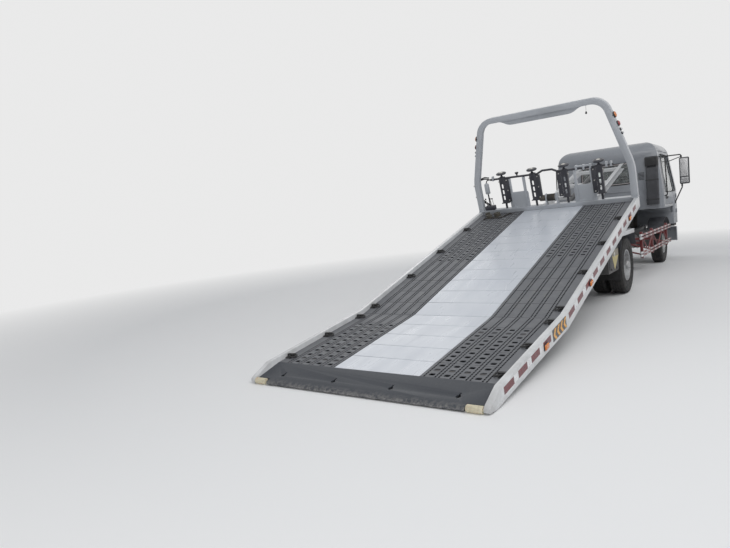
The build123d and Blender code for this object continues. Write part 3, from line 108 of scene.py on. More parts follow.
MAIN_LENGTH = 3.55
REAR_LENGTH = 1.38
REAR_ANGLE = math.radians(8.2)
DECK_THICKNESS = 0.006
CENTRE_HALF = 0.43
MARGIN_Y = 0.988
RAIL_INNER_Y = 1.10
BED_HALF = 1.15
SILL_DEPTH = 0.08
slide_joint = next(j for j in frame["joints"] if j["name"] == "bed_slide")
MAIN_ANGLE = math.atan2(slide_joint["axis"][2], slide_joint["axis"][0])
ALONG = Vector((math.cos(MAIN_ANGLE), 0, math.sin(MAIN_ANGLE)))
NORMAL = Vector((-math.sin(MAIN_ANGLE), 0, math.cos(MAIN_ANGLE)))
deck_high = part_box("deck_centre")[1]
deck_end = Vector((deck_high.x - DECK_THICKNESS * math.sin(MAIN_ANGLE), 0, deck_high.z))
KINK = deck_end - MAIN_LENGTH * ALONG
MAIN_PLANE = turned(KINK, -MAIN_ANGLE, "Y")
REAR_PLANE = turned(KINK, -REAR_ANGLE, "Y")
SILL_U = MAIN_LENGTH - SILL_DEPTH / 2


def plane_at(u):
    """Plane of the deck at a distance from its bend."""
    return REAR_PLANE if u < 0 else MAIN_PLANE


def sill_point(x, y, w):
    """Row-frame point at a distance ahead of the sill's middle."""
    return MAIN_PLANE @ Vector((SILL_U + x, y, w))


def sill_place(y, w):
    """Bed-frame matrix at a place along the sill."""
    return MAIN_PLANE @ Matrix.Translation((SILL_U, y, w))


# Axles and tyres, from the frame

rear_low, rear_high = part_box("tyres_rear_left")
REAR_AXLE_X = (rear_low.x + rear_high.x) / 2
front_low, front_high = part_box("tyre_front_left")
FRONT_AXLE_X = (front_low.x + front_high.x) / 2
WHEELBASE = FRONT_AXLE_X - REAR_AXLE_X
TYRE_RADIUS = (front_high.z - front_low.z) / 2
TYRE_HALF = (front_high.y - front_low.y) / 2


def at(x, y, z):
    """Row-frame point from a distance ahead of the rear axle."""
    return Vector((REAR_AXLE_X + x, y, z))


def ahead(x, y, z):
    """Row-frame point from a distance ahead of the front axle."""
    return Vector((FRONT_AXLE_X + x, y, z))


# Finishes

def feed(tree, socket, value):
    """Put a value or another node's output on a socket."""
    if isinstance(value, bpy.types.NodeSocket):
        tree.links.new(value, socket)
    else:
        socket.default_value = value


def add_node(tree, kind, inputs=None, **settings):
    """New node with its settings, then values or links on its inputs."""
    node = tree.nodes.new(kind)
    for key, value in settings.items():
        setattr(node, key, value)
    for key, value in (inputs or {}).items():
        feed(tree, node.inputs[key], value)
    return node


class Finish:
    """Node material round one Principled shader, patterned on Object coordinates."""

    def __init__(self, name, colour, roughness, metallic=0.0):
        self.material = bpy.data.materials.new(name)
        self.material.use_nodes = True
        self.tree = self.material.node_tree
        self.shader = self.tree.nodes["Principled BSDF"]
        self.set(Base_Color=(*colour, 1), Roughness=roughness, Metallic=metallic)
        self.place = self.node("ShaderNodeTexCoord").outputs["Object"]
        self.normal = None

    def node(self, kind, inputs=None, **settings):
        return add_node(self.tree, kind, inputs, **settings)

    def set(self, **sockets):
        """Values and patterns on the shader's own sockets; _ stands for a space."""
        for key, value in sockets.items():
            feed(self.tree, self.shader.inputs[key.replace("_", " ")], value)
        return self

    def stretched(self, scale):
        if not scale:
            return self.place
        return self.node("ShaderNodeMapping", {"Vector": self.place, "Scale": scale}).outputs["Vector"]

    def noise(self, scale, detail, rough=0.55, stretch=None):
        return self.node("ShaderNodeTexNoise", {"Vector": self.stretched(stretch), "Scale": scale,
                                                "Detail": detail, "Roughness": rough}).outputs["Fac"]

    def cells(self, scale, feature="F1"):
        return self.node("ShaderNodeTexVoronoi", {"Vector": self.place, "Scale": scale},
                         feature=feature).outputs["Distance"]

    def wave(self, scale, direction, distortion=0.0):
        inputs = {"Vector": self.place, "Scale": scale, "Distortion": distortion}
        return self.node("ShaderNodeTexWave", inputs, bands_direction=direction).outputs["Fac"]

    def ramp(self, value, low, high, start=0.0, end=1.0):
        """Map a range of a pattern to a range of numbers."""
        return self.node("ShaderNodeMapRange", {"Value": value, "From Min": low, "From Max": high,
                                                "To Min": start, "To Max": end}, clamp=True).outputs["Result"]

    def height(self):
        """Z of the row frame, so that dirt gathers low down."""
        return self.node("ShaderNodeSeparateXYZ", {"Vector": self.place}).outputs["Z"]

    def times(self, a, b):
        return self.node("ShaderNodeMath", {0: a, 1: b}, operation="MULTIPLY").outputs["Value"]

    def tint(self, amount, colour):
        """Mix a colour over the base by a pattern."""
        base = self.shader.inputs["Base Color"]
        under = base.links[0].from_socket if base.links else base.default_value
        mix = self.node("ShaderNodeMix", {"Factor": amount, "A": under, "B": (*colour, 1)}, data_type="RGBA")
        return self.set(Base_Color=mix.outputs["Result"])

    def bump(self, pattern, depth, strength=1.0):
        """Relief of a depth in metres; a second call adds to the first."""
        inputs = {"Strength": strength, "Distance": depth, "Height": pattern}
        if self.normal:
            inputs["Normal"] = self.normal
        self.normal = self.node("ShaderNodeBump", inputs).outputs["Normal"]
        return self.set(Normal=self.normal)

    def stain(self, noise, low, high, colour, end=1.0):
        """Tint where a noise runs from low to high."""
        return self.tint(self.ramp(self.noise(*noise), low, high, 0.0, end), colour)

    def dull(self, noise, start, end, low=0.3, high=0.7):
        """Roughness between two values by a noise."""
        return self.set(Roughness=self.ramp(self.noise(*noise), low, high, start, end))

    def grain(self, noise, depth, strength=1.0):
        """Relief from a noise."""
        return self.bump(self.noise(*noise), depth, strength)


def shaded(colour, factor, lift=0.0):
    """Darker or lighter version of a colour."""
    return [min(1, c * factor + lift) for c in colour]


def enamel(name, colour, roughness, dust, coat):
    """Sprayed paint on steel: orange peel, faint shade changes and dust near the ground."""
    f = Finish(name, colour, roughness).set(Coat_Weight=coat, Coat_Roughness=0.12)
    f.stain((2.3, 4), 0.42, 0.75, shaded(colour, 0.86))
    grime = f.times(f.ramp(f.height(), 1.1, 0.1, 0.0, dust), f.ramp(f.noise(7, 6, 0.7), 0.35, 0.7))
    f.tint(grime, (0.16, 0.14, 0.12))
    return f.dull((38, 4), roughness - 0.05, roughness + 0.12).grain((260, 2), 0.00012).material


def deck_white():
    """White strip: hard gloss paint with long scuffs and faint wheel marks."""
    f = Finish("deck_white", (0.58, 0.61, 0.66), 0.34).set(Coat_Weight=0.12, Coat_Roughness=0.15)
    f.stain((1.1, 5, 0.6), 0.45, 0.8, (0.46, 0.50, 0.57), 0.55)
    f.stain((6, 6, 0.7, (0.35, 2.5, 1)), 0.58, 0.82, (0.34, 0.36, 0.39), 0.5)
    f.dull((5, 5, 0.65, (0.4, 2, 1)), 0.22, 0.46, 0.3, 0.75)
    return f.grain((3.2, 2), 0.0012, 0.6).grain((320, 2), 0.0001).material


def track_grey():
    """Dark anti-slip paint, rubbed lighter where tyres run, with dust in the corners."""
    f = Finish("track_grey", (0.135, 0.14, 0.152), 0.52).set(Specular_IOR_Level=0.3)
    f.stain((1.7, 5, 0.6), 0.4, 0.75, (0.17, 0.175, 0.185), 0.8)
    f.stain((14, 6, 0.75, (0.5, 1, 1)), 0.55, 0.8, (0.21, 0.205, 0.19), 0.6)
    f.stain((60, 4, 0.8), 0.62, 0.72, (0.06, 0.06, 0.065), 0.5)
    return f.dull((9, 5, 0.7), 0.42, 0.66).grain((420, 3), 0.0002).material


def lip_grey():
    """Slate-coloured lip, scraped pale along its ground edge."""
    f = Finish("lip_grey", (0.048, 0.053, 0.063), 0.55).set(Specular_IOR_Level=0.3)
    f.stain((2.4, 5), 0.4, 0.8, (0.065, 0.07, 0.08), 0.35)
    f.stain((40, 5, 0.8, (0.3, 2, 1)), 0.6, 0.78, (0.15, 0.15, 0.155), 0.5)
    worn = f.times(f.ramp(f.height(), 0.05, 0.012), f.ramp(f.noise(30, 5, 0.8), 0.42, 0.6))
    f.tint(worn, (0.30, 0.29, 0.28))
    return f.dull((90, 4, 0.7), 0.42, 0.58).grain((260, 3), 0.0002).material


def cast_metal(name, colour):
    """Rough casting or forging with oily dust."""
    f = Finish(name, colour, 0.62, 0.4).stain((11, 6, 0.7), 0.4, 0.75, (0.13, 0.11, 0.09))
    return f.dull((20, 4), 0.5, 0.8).grain((140, 5, 0.7), 0.0009).material


def tyre_rubber():
    """Black rubber, dusty brown towards the ground, finely pitted."""
    f = Finish("tyre_rubber", (0.022, 0.022, 0.023), 0.72).set(Specular_IOR_Level=0.35)
    f.stain((9, 6, 0.75), 0.42, 0.8, (0.085, 0.078, 0.07), 0.6)
    f.stain((55, 4), 0.5, 0.75, (0.05, 0.048, 0.046), 0.35)
    return f.dull((24, 4), 0.6, 0.88).grain((500, 3), 0.0002).material


def rim_silver():
    """Dull silver wheel paint with brake dust."""
    f = Finish("rim_silver", (0.42, 0.43, 0.44), 0.4, 0.55)
    f.stain((16, 6, 0.75), 0.45, 0.75, (0.16, 0.13, 0.11), 0.75)
    return f.dull((30, 4), 0.33, 0.6).grain((300, 3), 0.00015).material


def bright_metal(name, colour, roughness):
    """Plated or ground steel with fine turning lines."""
    f = Finish(name, colour, roughness, 1.0).stain((25, 5), 0.55, 0.8, shaded(colour, 0.6), 0.5)
    return f.dull((140, 4), roughness * 0.7, roughness * 1.6).grain((600, 2), 0.00005).material


def moulded(name, colour, roughness=0.55):
    """Grained moulded plastic, a little chalky."""
    f = Finish(name, colour, roughness).stain((6, 5), 0.45, 0.8, shaded(colour, 1.7, 0.01), 0.6)
    return f.dull((18, 4), roughness - 0.08, roughness + 0.14).bump(f.cells(900), 0.00015).material


def rubber():
    """Soft black seal or hose rubber."""
    f = Finish("seal_rubber", (0.018, 0.018, 0.019), 0.6).stain((12, 5), 0.5, 0.8, (0.055, 0.053, 0.05), 0.5)
    return f.dull((30, 3), 0.5, 0.78).grain((350, 2), 0.0001).material


def shadow():
    """Near-black painted shade with no reflection, for the insides of slots, punched marks, seams and openings.
    """
    f = Finish("slot_shadow", (0.006, 0.006, 0.007), 0.95).set(Specular_IOR_Level=0.0)
    f.stain((20, 3), 0.5, 0.8, (0.012, 0.012, 0.012), 0.5)
    return f.dull((30, 3), 0.85, 1.0).grain((200, 2), 0.0001).material


def nylon():
    """Cream nylon rollers, scratched and grey at the ends."""
    f = Finish("cream_nylon", (0.66, 0.60, 0.44), 0.5).set(Subsurface_Weight=0.05)
    f.stain((30, 6, 0.8, (1, 0.3, 1)), 0.48, 0.72, (0.33, 0.29, 0.22), 0.7)
    return f.dull((40, 4), 0.4, 0.65).grain((150, 4, 0.6, (0.3, 3, 1)), 0.0006).material


def pane(name, colour, roughness=0.04):
    """Tinted safety glass with faint streaks."""
    f = Finish(name, colour, roughness).set(Transmission_Weight=0.92, IOR=1.45)
    f.stain((5, 4, 0.5, (1, 1, 3)), 0.5, 0.9, shaded(colour, 1.25), 0.25)
    return f.dull((8, 5), roughness, roughness + 0.06, 0.45, 0.8).grain((1.5, 2), 0.0006, 0.4).material


def lens(name, colour, glow=0.0):
    """Moulded lamp lens with fine prism ribs."""
    f = Finish(name, colour, 0.16)
    f.set(Transmission_Weight=0.25, IOR=1.49, Coat_Weight=0.6, Coat_Roughness=0.05)
    f.stain((60, 3), 0.4, 0.8, shaded(colour, 1.4, 0.02), 0.5).dull((90, 3), 0.1, 0.25)
    if glow:
        f.set(Emission_Color=(*colour, 1), Emission_Strength=glow)
    return f.bump(f.wave(160, "DIAGONAL"), 0.0006, 0.7).material


def reflector(name, colour):
    """Prismatic reflective tape: small sealed cells behind a clear film."""
    f = Finish(name, colour, 0.4).set(Coat_Weight=0.2, Coat_Roughness=0.15)
    f.tint(f.ramp(f.cells(420), 0.0, 0.7, 0.0, 0.5), shaded(colour, 1.3, 0.008))
    f.stain((14, 5, 0.7), 0.5, 0.8, shaded(colour, 0.45), 0.35).dull((50, 3), 0.22, 0.42)
    return f.bump(f.cells(420, "DISTANCE_TO_EDGE"), 0.0002).material


def seat_cloth():
    """Dark woven seat cloth."""
    f = Finish("seat_cloth", (0.055, 0.06, 0.07), 0.85).set(Sheen_Weight=0.3, Sheen_Roughness=0.5)
    f.tint(f.ramp(f.wave(160, "Y", 0.4), 0.2, 0.9, 0.0, 0.5), (0.10, 0.105, 0.115))
    f.stain((9, 4), 0.5, 0.8, (0.035, 0.036, 0.04), 0.5)
    return f.bump(f.wave(260, "Y"), 0.0004).bump(f.wave(260, "Z"), 0.0004).material


def webbing_cloth():
    """Dark, dusty polyester webbing with its cross weave."""
    f = Finish("strap_webbing", (0.085, 0.078, 0.06), 0.8).set(Sheen_Weight=0.2)
    f.stain((30, 5, 0.7), 0.45, 0.75, (0.045, 0.04, 0.032), 0.7).dull((60, 3), 0.7, 0.9)
    return f.bump(f.wave(420, "DIAGONAL"), 0.0003).material


BACKGROUND = (0.82, 0.82, 0.82)


def pale_ground():
    """Plain pale studio floor that fades into the background away from the truck."""
    f = Finish("studio_floor", (0.88, 0.88, 0.88), 0.75).dull((3, 3), 0.7, 0.82).grain((40, 3), 0.0005)
    reach = f.node("ShaderNodeVectorMath", {0: f.place}, operation="LENGTH").outputs["Value"]
    fade = f.times(f.ramp(reach, 6.5, 13.0), f.node("ShaderNodeLightPath").outputs["Is Camera Ray"])
    glow = f.node("ShaderNodeEmission", {"Color": (*BACKGROUND, 1)}).outputs["Emission"]
    mix = f.node("ShaderNodeMixShader", {"Fac": fade, 1: f.shader.outputs["BSDF"], 2: glow})
    feed(f.tree, f.tree.nodes["Material Output"].inputs["Surface"], mix.outputs["Shader"])
    return f.material


PAINT = {
    "white": enamel("rail_white", (0.72, 0.73, 0.74), 0.32, 0.35, 0.25),
    "silver": enamel("arch_silver", (0.47, 0.49, 0.52), 0.32, 0.2, 0.3),
    "cab": enamel("cab_grey", (0.262, 0.278, 0.305), 0.3, 0.3, 0.5),
    "chassis": enamel("chassis_black", (0.028, 0.029, 0.032), 0.45, 0.5, 0.1),
    "red": enamel("guard_red", (0.17, 0.018, 0.022), 0.4, 0.5, 0.15),
    "frame": enamel("tilt_white", (0.66, 0.67, 0.68), 0.34, 0.3, 0.2),
    "deck": deck_white(),
    "track": track_grey(),
    "lip": lip_grey(),
    "cast": cast_metal("cast_iron", (0.06, 0.058, 0.055)),
    "posts": enamel("post_black", (0.045, 0.045, 0.055), 0.42, 0.2, 0.1),
    "tyre": tyre_rubber(),
    "rim": rim_silver(),
    "chrome": bright_metal("rod_chrome", (0.72, 0.72, 0.73), 0.14),
    "zinc": bright_metal("zinc_bolts", (0.52, 0.51, 0.48), 0.34),
    "plastic": moulded("black_plastic", (0.028, 0.028, 0.030)),
    "duct": moulded("duct_plastic", (0.05, 0.052, 0.058), 0.6),
    "seal": rubber(),
    # near-black painted shade, put where slots, holes and seams would lie in shade
    "painted_shade": shadow(),
    "cream": enamel("marker_cream", (0.58, 0.48, 0.18), 0.4, 0.2, 0.1),
    "nylon": nylon(),
    "guard_white": enamel("guard_white", (0.47, 0.43, 0.43), 0.4, 0.4, 0.15),
    # beige-grey of the lockers' plates, kept dark as painted shade
    "flap": moulded("flap_beige", (0.30, 0.27, 0.22), 0.6),
    "tank": bright_metal("tank_metal", (0.42, 0.43, 0.44), 0.42),
    "glass": pane("cab_glass_tint", (0.86, 0.90, 0.89)),
    "clear": lens("clear_lens", (0.72, 0.74, 0.76)),
    "cover": pane("lamp_cover", (0.93, 0.94, 0.94), 0.03),
    "amber": lens("amber_lens", (0.72, 0.20, 0.02), 0.10),
    "red_lens": lens("red_lens", (0.36, 0.012, 0.016), 0.08),
    "tape_red": reflector("tape_red", (0.125, 0.006, 0.012)),
    "tape_white": reflector("tape_white", (0.72, 0.72, 0.73)),
    "tape_amber": reflector("tape_amber", (0.72, 0.34, 0.035)),
    "tape_black": reflector("tape_black", (0.02, 0.02, 0.022)),
    "seat": seat_cloth(),
    "strap": webbing_cloth(),
}


# Ways of making pieces

def put(name, data, paint=None):
    """Link a mesh or curve as an object at the origin."""
    piece = bpy.data.objects.new(name, data)
    bpy.context.scene.collection.objects.link(piece)
    if paint and not data.materials:
        data.materials.append(PAINT[paint])
    return piece


def made(name, bm, paint=None):
    """Turn a bmesh into an object at the origin."""
    mesh = bpy.data.meshes.new(name)
    bm.to_mesh(mesh)
    bm.free()
    return put(name, mesh, paint)


def settle(piece):
    """Apply modifiers and place, leaving a plain mesh at the origin."""
    bpy.context.view_layer.update()
    graph = bpy.context.evaluated_depsgraph_get()
    mesh = bpy.data.meshes.new_from_object(piece.evaluated_get(graph), depsgraph=graph)
    mesh.transform(piece.matrix_world)
    if piece.matrix_world.determinant() < 0:
        mesh.flip_normals()
    name = piece.name
    bpy.data.objects.remove(piece)
    mesh.name = name
    return put(name, mesh)


def drop(*pieces):
    """Remove the patterns of rows and scatters."""
    for piece in pieces:
        bpy.data.objects.remove(piece)


def smooth(piece, angle):
    """Shade smooth, with sharp edges kept above an angle."""
    piece.data.shade_smooth()
    piece.data.set_sharp_from_angle(angle=math.radians(angle))
    return piece


def seat_on(piece, body, slot, *nodes):
    """Attach a piece to its body and hide the CAD nodes it stands for."""
    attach(piece, body)
    if nodes:
        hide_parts(*nodes)
    return piece


def rounded(name, bm, paint, width, segments=2, angle=40):
    """Finish a bmesh with rounded edges and smooth shading."""
    piece = made(name, bm, paint)
    if width:
        bevel = piece.modifiers.new("edges", "BEVEL")
        bevel.width = width
        bevel.segments = segments
        bevel.limit_method = "ANGLE"
        bevel.angle_limit = math.radians(angle)
        bevel.harden_normals = False
    return smooth(settle(piece), angle)


def fit(name, bm, paint, body, slot, width, segments=2):
    """Round a bmesh's edges and seat it as a piece of its own."""
    return seat_on(rounded(name, bm, paint, width, segments), body, slot)


def merged(name, pieces):
    """Join pieces of one body into a single mesh."""
    bm = bmesh.new()
    materials = []
    for piece in pieces:
        start = len(bm.faces)
        bm.from_mesh(piece.data)
        bm.faces.ensure_lookup_table()
        slots = []
        for material in piece.data.materials:
            if material not in materials:
                materials.append(material)
            slots.append(materials.index(material))
        for face in bm.faces[start:]:
            face.material_index = slots[min(face.material_index, len(slots) - 1)] if slots else 0
        bpy.data.objects.remove(piece)
    piece = made(name, bm)
    for material in materials:
        piece.data.materials.append(material)
    return piece


def joined(name, pieces, body, slot, *nodes):
    """Join pieces of one body and seat the result."""
    return seat_on(merged(name, pieces), body, slot, *nodes)


def add_box(bm, x, y, z, place=None):
    """Box between pairs of corner values; place turns it afterwards."""
    size = Matrix.Diagonal((x[1] - x[0], y[1] - y[0], z[1] - z[0], 1))
    middle = Matrix.Translation(((x[0] + x[1]) / 2, (y[0] + y[1]) / 2, (z[0] + z[1]) / 2))
    bmesh.ops.create_cube(bm, size=1, matrix=(place or Matrix.Identity(4)) @ middle @ size)


def boxes(sizes, place=None):
    """Bmesh of boxes, each given by its ranges of x, y and z."""
    bm = bmesh.new()
    for size in sizes:
        add_box(bm, *size, place=place)
    return bm


def add_rod(bm, start, end, radius, sides):
    """Round bar between two points."""
    start, end = Vector(start), Vector(end)
    run = end - start
    turn = run.to_track_quat("Z", "Y").to_matrix().to_4x4()
    bmesh.ops.create_cone(bm, cap_ends=True, segments=sides, radius1=radius, radius2=radius,
                          depth=run.length, matrix=Matrix.Translation((start + end) / 2) @ turn)


def stacked(name, cones, paint):
    """Cones on one axis, each (sides, foot radius, top radius, depth, middle)."""
    bm = bmesh.new()
    for sides, foot, top, depth, level in cones:
        bmesh.ops.create_cone(bm, cap_ends=True, segments=sides, radius1=foot, radius2=top, depth=depth,
                              matrix=Matrix.Translation((0, 0, level)))
    return made(name, bm, paint)


def bridge(bm, rings):
    """Faces between closed loops of corners, each loop joined to the next."""
    for low, high in zip(rings, rings[1:]):
        for index in range(len(low)):
            after = (index + 1) % len(low)
            bm.faces.new((low[index], low[after], high[after], high[index]))


def wall(name, loops, paint):
    """Open skin through closed loops of points."""
    bm = bmesh.new()
    bridge(bm, [[bm.verts.new(point) for point in loop] for loop in loops])
    return made(name, bm, paint)


def lathe(name, profile, paint, place, sides, angle=35):
    """Turn an outline of (radius, height) about Z and put it in place."""
    bm = bmesh.new()
    rings = []
    for radius, level in profile:
        turns = circle(sides) if radius >= 1e-6 else [0]
        rings.append([bm.verts.new((radius * math.cos(t), radius * math.sin(t), level)) for t in turns])
    for low, high in zip(rings, rings[1:]):
        if len(low) == len(high) > 1:
            bridge(bm, [low, high])
        elif len(low) != len(high):
            for index in range(sides):
                after = (index + 1) % sides
                bm.faces.new((low[0], high[index], high[after]) if len(low) == 1
                             else (low[index], low[after], high[0]))
    bmesh.ops.recalc_face_normals(bm, faces=bm.faces)
    piece = made(name, bm, paint)
    piece.matrix_world = place
    return smooth(settle(piece), angle)


def ball(radius, foot):
    """Profile of a ball whose lowest point is the foot's distance below its middle."""
    turns = [math.pi * step / 8 for step in range(1, 8)]
    return [(0.0, -foot), *((radius * math.sin(t), -radius * math.cos(t)) for t in turns), (0.0, radius)]


def add_splines(curve, loops, closed):
    """Straight splines of a curve through its loops' points."""
    for loop in loops:
        spline = curve.splines.new("POLY")
        spline.points.add(len(loop) - 1)
        for target, point in zip(spline.points, loop):
            target.co = (*point, 1)
        spline.use_cyclic_u = closed


def tube(name, points, radius, paint, sides, bends=None, closed=False):
    """Bent round tube through points, with its corners rounded to a radius."""
    curve = bpy.data.curves.new(name, "CURVE")
    curve.dimensions = "3D"
    curve.bevel_depth = radius
    curve.bevel_resolution = max(0, sides // 4 - 1)
    curve.use_fill_caps = True
    add_splines(curve, [bent(points, bends) if bends else [Vector(p) for p in points]], closed)
    return smooth(settle(put(name, curve, paint)), 50)


def bent(points, radius, steps=6):
    """Route with each inner corner replaced by an arc."""
    points = [Vector(p) for p in points]
    route = [points[0]]
    for before, corner, after in zip(points, points[1:], points[2:]):
        first = (before - corner).normalized()
        second = (after - corner).normalized()
        half = first.angle(second) / 2
        reach = min(radius / math.tan(half), 0.48 * (before - corner).length, 0.48 * (after - corner).length)
        centre = corner + (first + second).normalized() * (reach / math.cos(half))
        a = corner + first * reach - centre
        b = corner + second * reach - centre
        route += [centre + a.slerp(b, step / steps) * a.length for step in range(steps + 1)]
    return route + [points[-1]]


def loop_of(points, radius):
    """Closed route with rounded corners."""
    points = [Vector(p) for p in points]
    doubled = [points[-1]] + points + [points[0]]
    route = []
    for corner in zip(doubled, doubled[1:], doubled[2:]):
        route += bent(corner, radius)[1:-1]
    return route


def loop_flat(points, radius):
    """Closed rounded route of (y, z) pairs, with extra points on its straights."""
    route = [(p.x, p.y) for p in loop_of([(y, z, 0) for y, z in points], radius)]
    dense = []
    for start, end in zip(route, route[1:] + route[:1]):
        count = max(1, int(math.dist(start, end) / 0.06))
        for step in range(count):
            share = step / count
            dense.append(tuple(a + (b - a) * share for a, b in zip(start, end)))
    return dense


def ribbon(name, points, across, width, thickness, paint):
    """Flat band through points; across is the unit direction of its width."""
    side = across * width / 2
    bm = bmesh.new()
    rings = []
    for index, point in enumerate(points):
        run = points[min(len(points) - 1, index + 1)] - points[max(0, index - 1)]
        out = run.normalized().cross(across).normalized() * thickness / 2
        rings.append([bm.verts.new(corner) for corner in
                      (point + side + out, point - side + out, point - side - out, point + side - out)])
    bridge(bm, rings)
    bm.faces.new(rings[0])
    bm.faces.new(reversed(rings[-1]))
    bmesh.ops.recalc_face_normals(bm, faces=bm.faces)
    return rounded(name, bm, paint, 0)


def flat_plate(name, outline, holes, thickness, paint, place, edge):
    """Plate of a flat outline with holes and eased edges; place takes its XY plane to the row frame."""
    curve = bpy.data.curves.new(name, "CURVE")
    curve.dimensions = "2D"
    curve.fill_mode = "BOTH"
    curve.extrude = thickness / 2 - edge
    curve.bevel_depth = edge
    curve.bevel_resolution = 0
    curve.offset = -edge
    add_splines(curve, [[(x, y, 0) for x, y in loop] for loop in [outline] + holes], True)
    piece = put(name, curve, paint)
    piece.matrix_world = place
    return settle(piece)


def soft_rectangle(x, y, width, length, radius):
    """Loop of a rounded rectangle about a middle, four points to each corner."""
    loop = []
    for sx, sy, start in ((1, 1, 0), (-1, 1, 90), (-1, -1, 180), (1, -1, 270)):
        for step in range(4):
            turn = math.radians(start + 90 * step / 3)
            loop.append((x + sx * (width / 2 - radius) + radius * math.cos(turn),
                         y + sy * (length / 2 - radius) + radius * math.sin(turn)))
    return loop


class Group:
    """Geometry Nodes group that sets out a shape, realizes it and paints it."""

    def __init__(self, name, **inputs):
        self.tree = bpy.data.node_groups.new(name, "GeometryNodeTree")
        face = self.tree.interface
        self.sockets = {key: face.new_socket(key, in_out="INPUT", socket_type="NodeSocket" + kind).identifier
                        for key, kind in inputs.items()}
        face.new_socket("Geometry", in_out="OUTPUT", socket_type="NodeSocketGeometry")
        self.given = self.tree.nodes.new("NodeGroupInput").outputs
        self.shape = self.node("ObjectInfo", {"Object": self.given["Shape"]}).outputs["Geometry"]

    def node(self, kind, inputs, **settings):
        return add_node(self.tree, "GeometryNode" + kind, inputs, **settings)

    def line(self, axis, count, pitch):
        """Points along one axis."""
        step = add_node(self.tree, "ShaderNodeCombineXYZ", {axis: self.given[pitch]}).outputs["Vector"]
        return self.node("MeshLine", {"Count": self.given[count], "Offset": step}).outputs["Mesh"]

    def set_out(self, **inputs):
        """Instances on points."""
        return self.node("InstanceOnPoints", inputs).outputs["Instances"]

    def end(self, instances):
        real = self.node("RealizeInstances", {"Geometry": instances}).outputs["Geometry"]
        painted = self.node("SetMaterial", {"Geometry": real, "Material": self.given["Paint"]})
        add_node(self.tree, "NodeGroupOutput", {"Geometry": painted.outputs["Geometry"]})
        return self

    def on(self, piece, **values):
        """Run the group on an object and settle it."""
        maker = piece.modifiers.new(self.tree.name, "NODES")
        maker.node_group = self.tree
        for key, value in values.items():
            maker[self.sockets[key]] = value
        return settle(piece)


def rows_group():
    """A grid of one shape."""
    g = Group("rows", Along="Int", Across="Int", Pitch="Float", Stride="Float", Shape="Object",
              Paint="Material")
    rank = g.set_out(Points=g.line("X", "Along", "Pitch"), Instance=g.shape)
    return g.end(g.set_out(Points=g.line("Y", "Across", "Stride"), Instance=rank))


def places_group():
    """One shape on each given point, turned by the point's own angles."""
    g = Group("places", Geometry="Geometry", Shape="Object", Size="Float", Paint="Material")
    turn = g.node("InputNamedAttribute", {"Name": "turn"}, data_type="FLOAT_VECTOR").outputs["Attribute"]
    points = g.node("MeshToPoints", {"Mesh": g.given["Geometry"]}).outputs["Points"]
    return g.end(g.set_out(Points=points, Instance=g.shape, Rotation=turn, Scale=g.given["Size"]))


ROWS = rows_group()
PLACES = places_group()


def rows(name, shape, paint, place, along, pitch, across=1, stride=0.0):
    """Grid of a shape laid out in a plane."""
    piece = put(name, bpy.data.meshes.new(name))
    piece.matrix_world = place
    return ROWS.on(piece, Along=along, Across=across, Pitch=pitch, Stride=stride, Shape=shape,
                   Paint=PAINT[paint])


def scattered(name, shape, paint, spots):
    """A shape at each (point, direction): its Z axis points along the direction."""
    mesh = bpy.data.meshes.new(name)
    mesh.from_pydata([tuple(point) for point, _ in spots], [], [])
    turns = mesh.attributes.new("turn", "FLOAT_VECTOR", "POINT")
    for target, (_, direction) in zip(turns.data, spots):
        target.vector = Vector(direction).to_track_quat("Z", "Y").to_euler()
    return PLACES.on(put(name, mesh), Shape=shape, Size=1.0, Paint=PAINT[paint])


def skin(node, slot, paint, width, angle=30):
    """Copy of a CAD node with merged faces and rounded edges, standing for the node."""
    source = frame["nodes"][node]
    bm = bmesh.new()
    bm.from_mesh(source.data)
    bmesh.ops.remove_doubles(bm, verts=bm.verts, dist=1e-5)
    bmesh.ops.dissolve_limit(bm, angle_limit=math.radians(0.6), verts=bm.verts, edges=bm.edges)
    return seat_on(rounded("skin_" + node, bm, paint, width, 2, angle), source["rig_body"], slot, node)


def paint_node(node, paint):
    """Give a CAD node its finish."""
    mesh = frame["nodes"][node].data
    mesh.materials.clear()
    mesh.materials.append(PAINT[paint])


# Camera, light and floor

FOCAL_PIXELS = 563
FRAME_WIDTH = 730
FILM_WIDTH = 36.0
CAMERA_PLACE = (-8.2446, -2.72, 1.35)
CAMERA_YAW = math.radians(37.0)
CAMERA_PITCH = math.radians(5.4)
CAMERA_ROLL = math.radians(-5.6)


def camera():
    """The photograph's view, solved from the bed's lines."""
    level = math.cos(CAMERA_PITCH)
    forward = Vector((math.cos(CAMERA_YAW) * level, math.sin(CAMERA_YAW) * level, -math.sin(CAMERA_PITCH)))
    right = forward.cross(Vector((0, 0, 1))).normalized()
    up = right.cross(forward)
    c, s = math.cos(CAMERA_ROLL), math.sin(CAMERA_ROLL)
    columns = (c * right + s * up, -s * right + c * up, -forward)
    turn = Matrix([[column[row] for column in columns] for row in range(3)]).to_4x4()
    data = bpy.data.cameras.new("camera")
    data.sensor_width = FILM_WIDTH
    data.lens = FOCAL_PIXELS / FRAME_WIDTH * FILM_WIDTH
    data.clip_end = 200
    view = bpy.data.objects.new("camera", data)
    view.matrix_world = Matrix.Translation(CAMERA_PLACE) @ turn
    bpy.context.scene.collection.objects.link(view)
    bpy.context.scene.camera = view


def lamp(name, place, target, size, power):
    """Square soft light aimed at a point."""
    data = bpy.data.lights.new(name, "AREA")
    data.size = size
    data.energy = power
    light = bpy.data.objects.new(name, data)
    aim = (Vector(target) - Vector(place)).to_track_quat("-Z", "Y")
    light.matrix_world = Matrix.Translation(place) @ aim.to_matrix().to_4x4()
    bpy.context.scene.collection.objects.link(light)


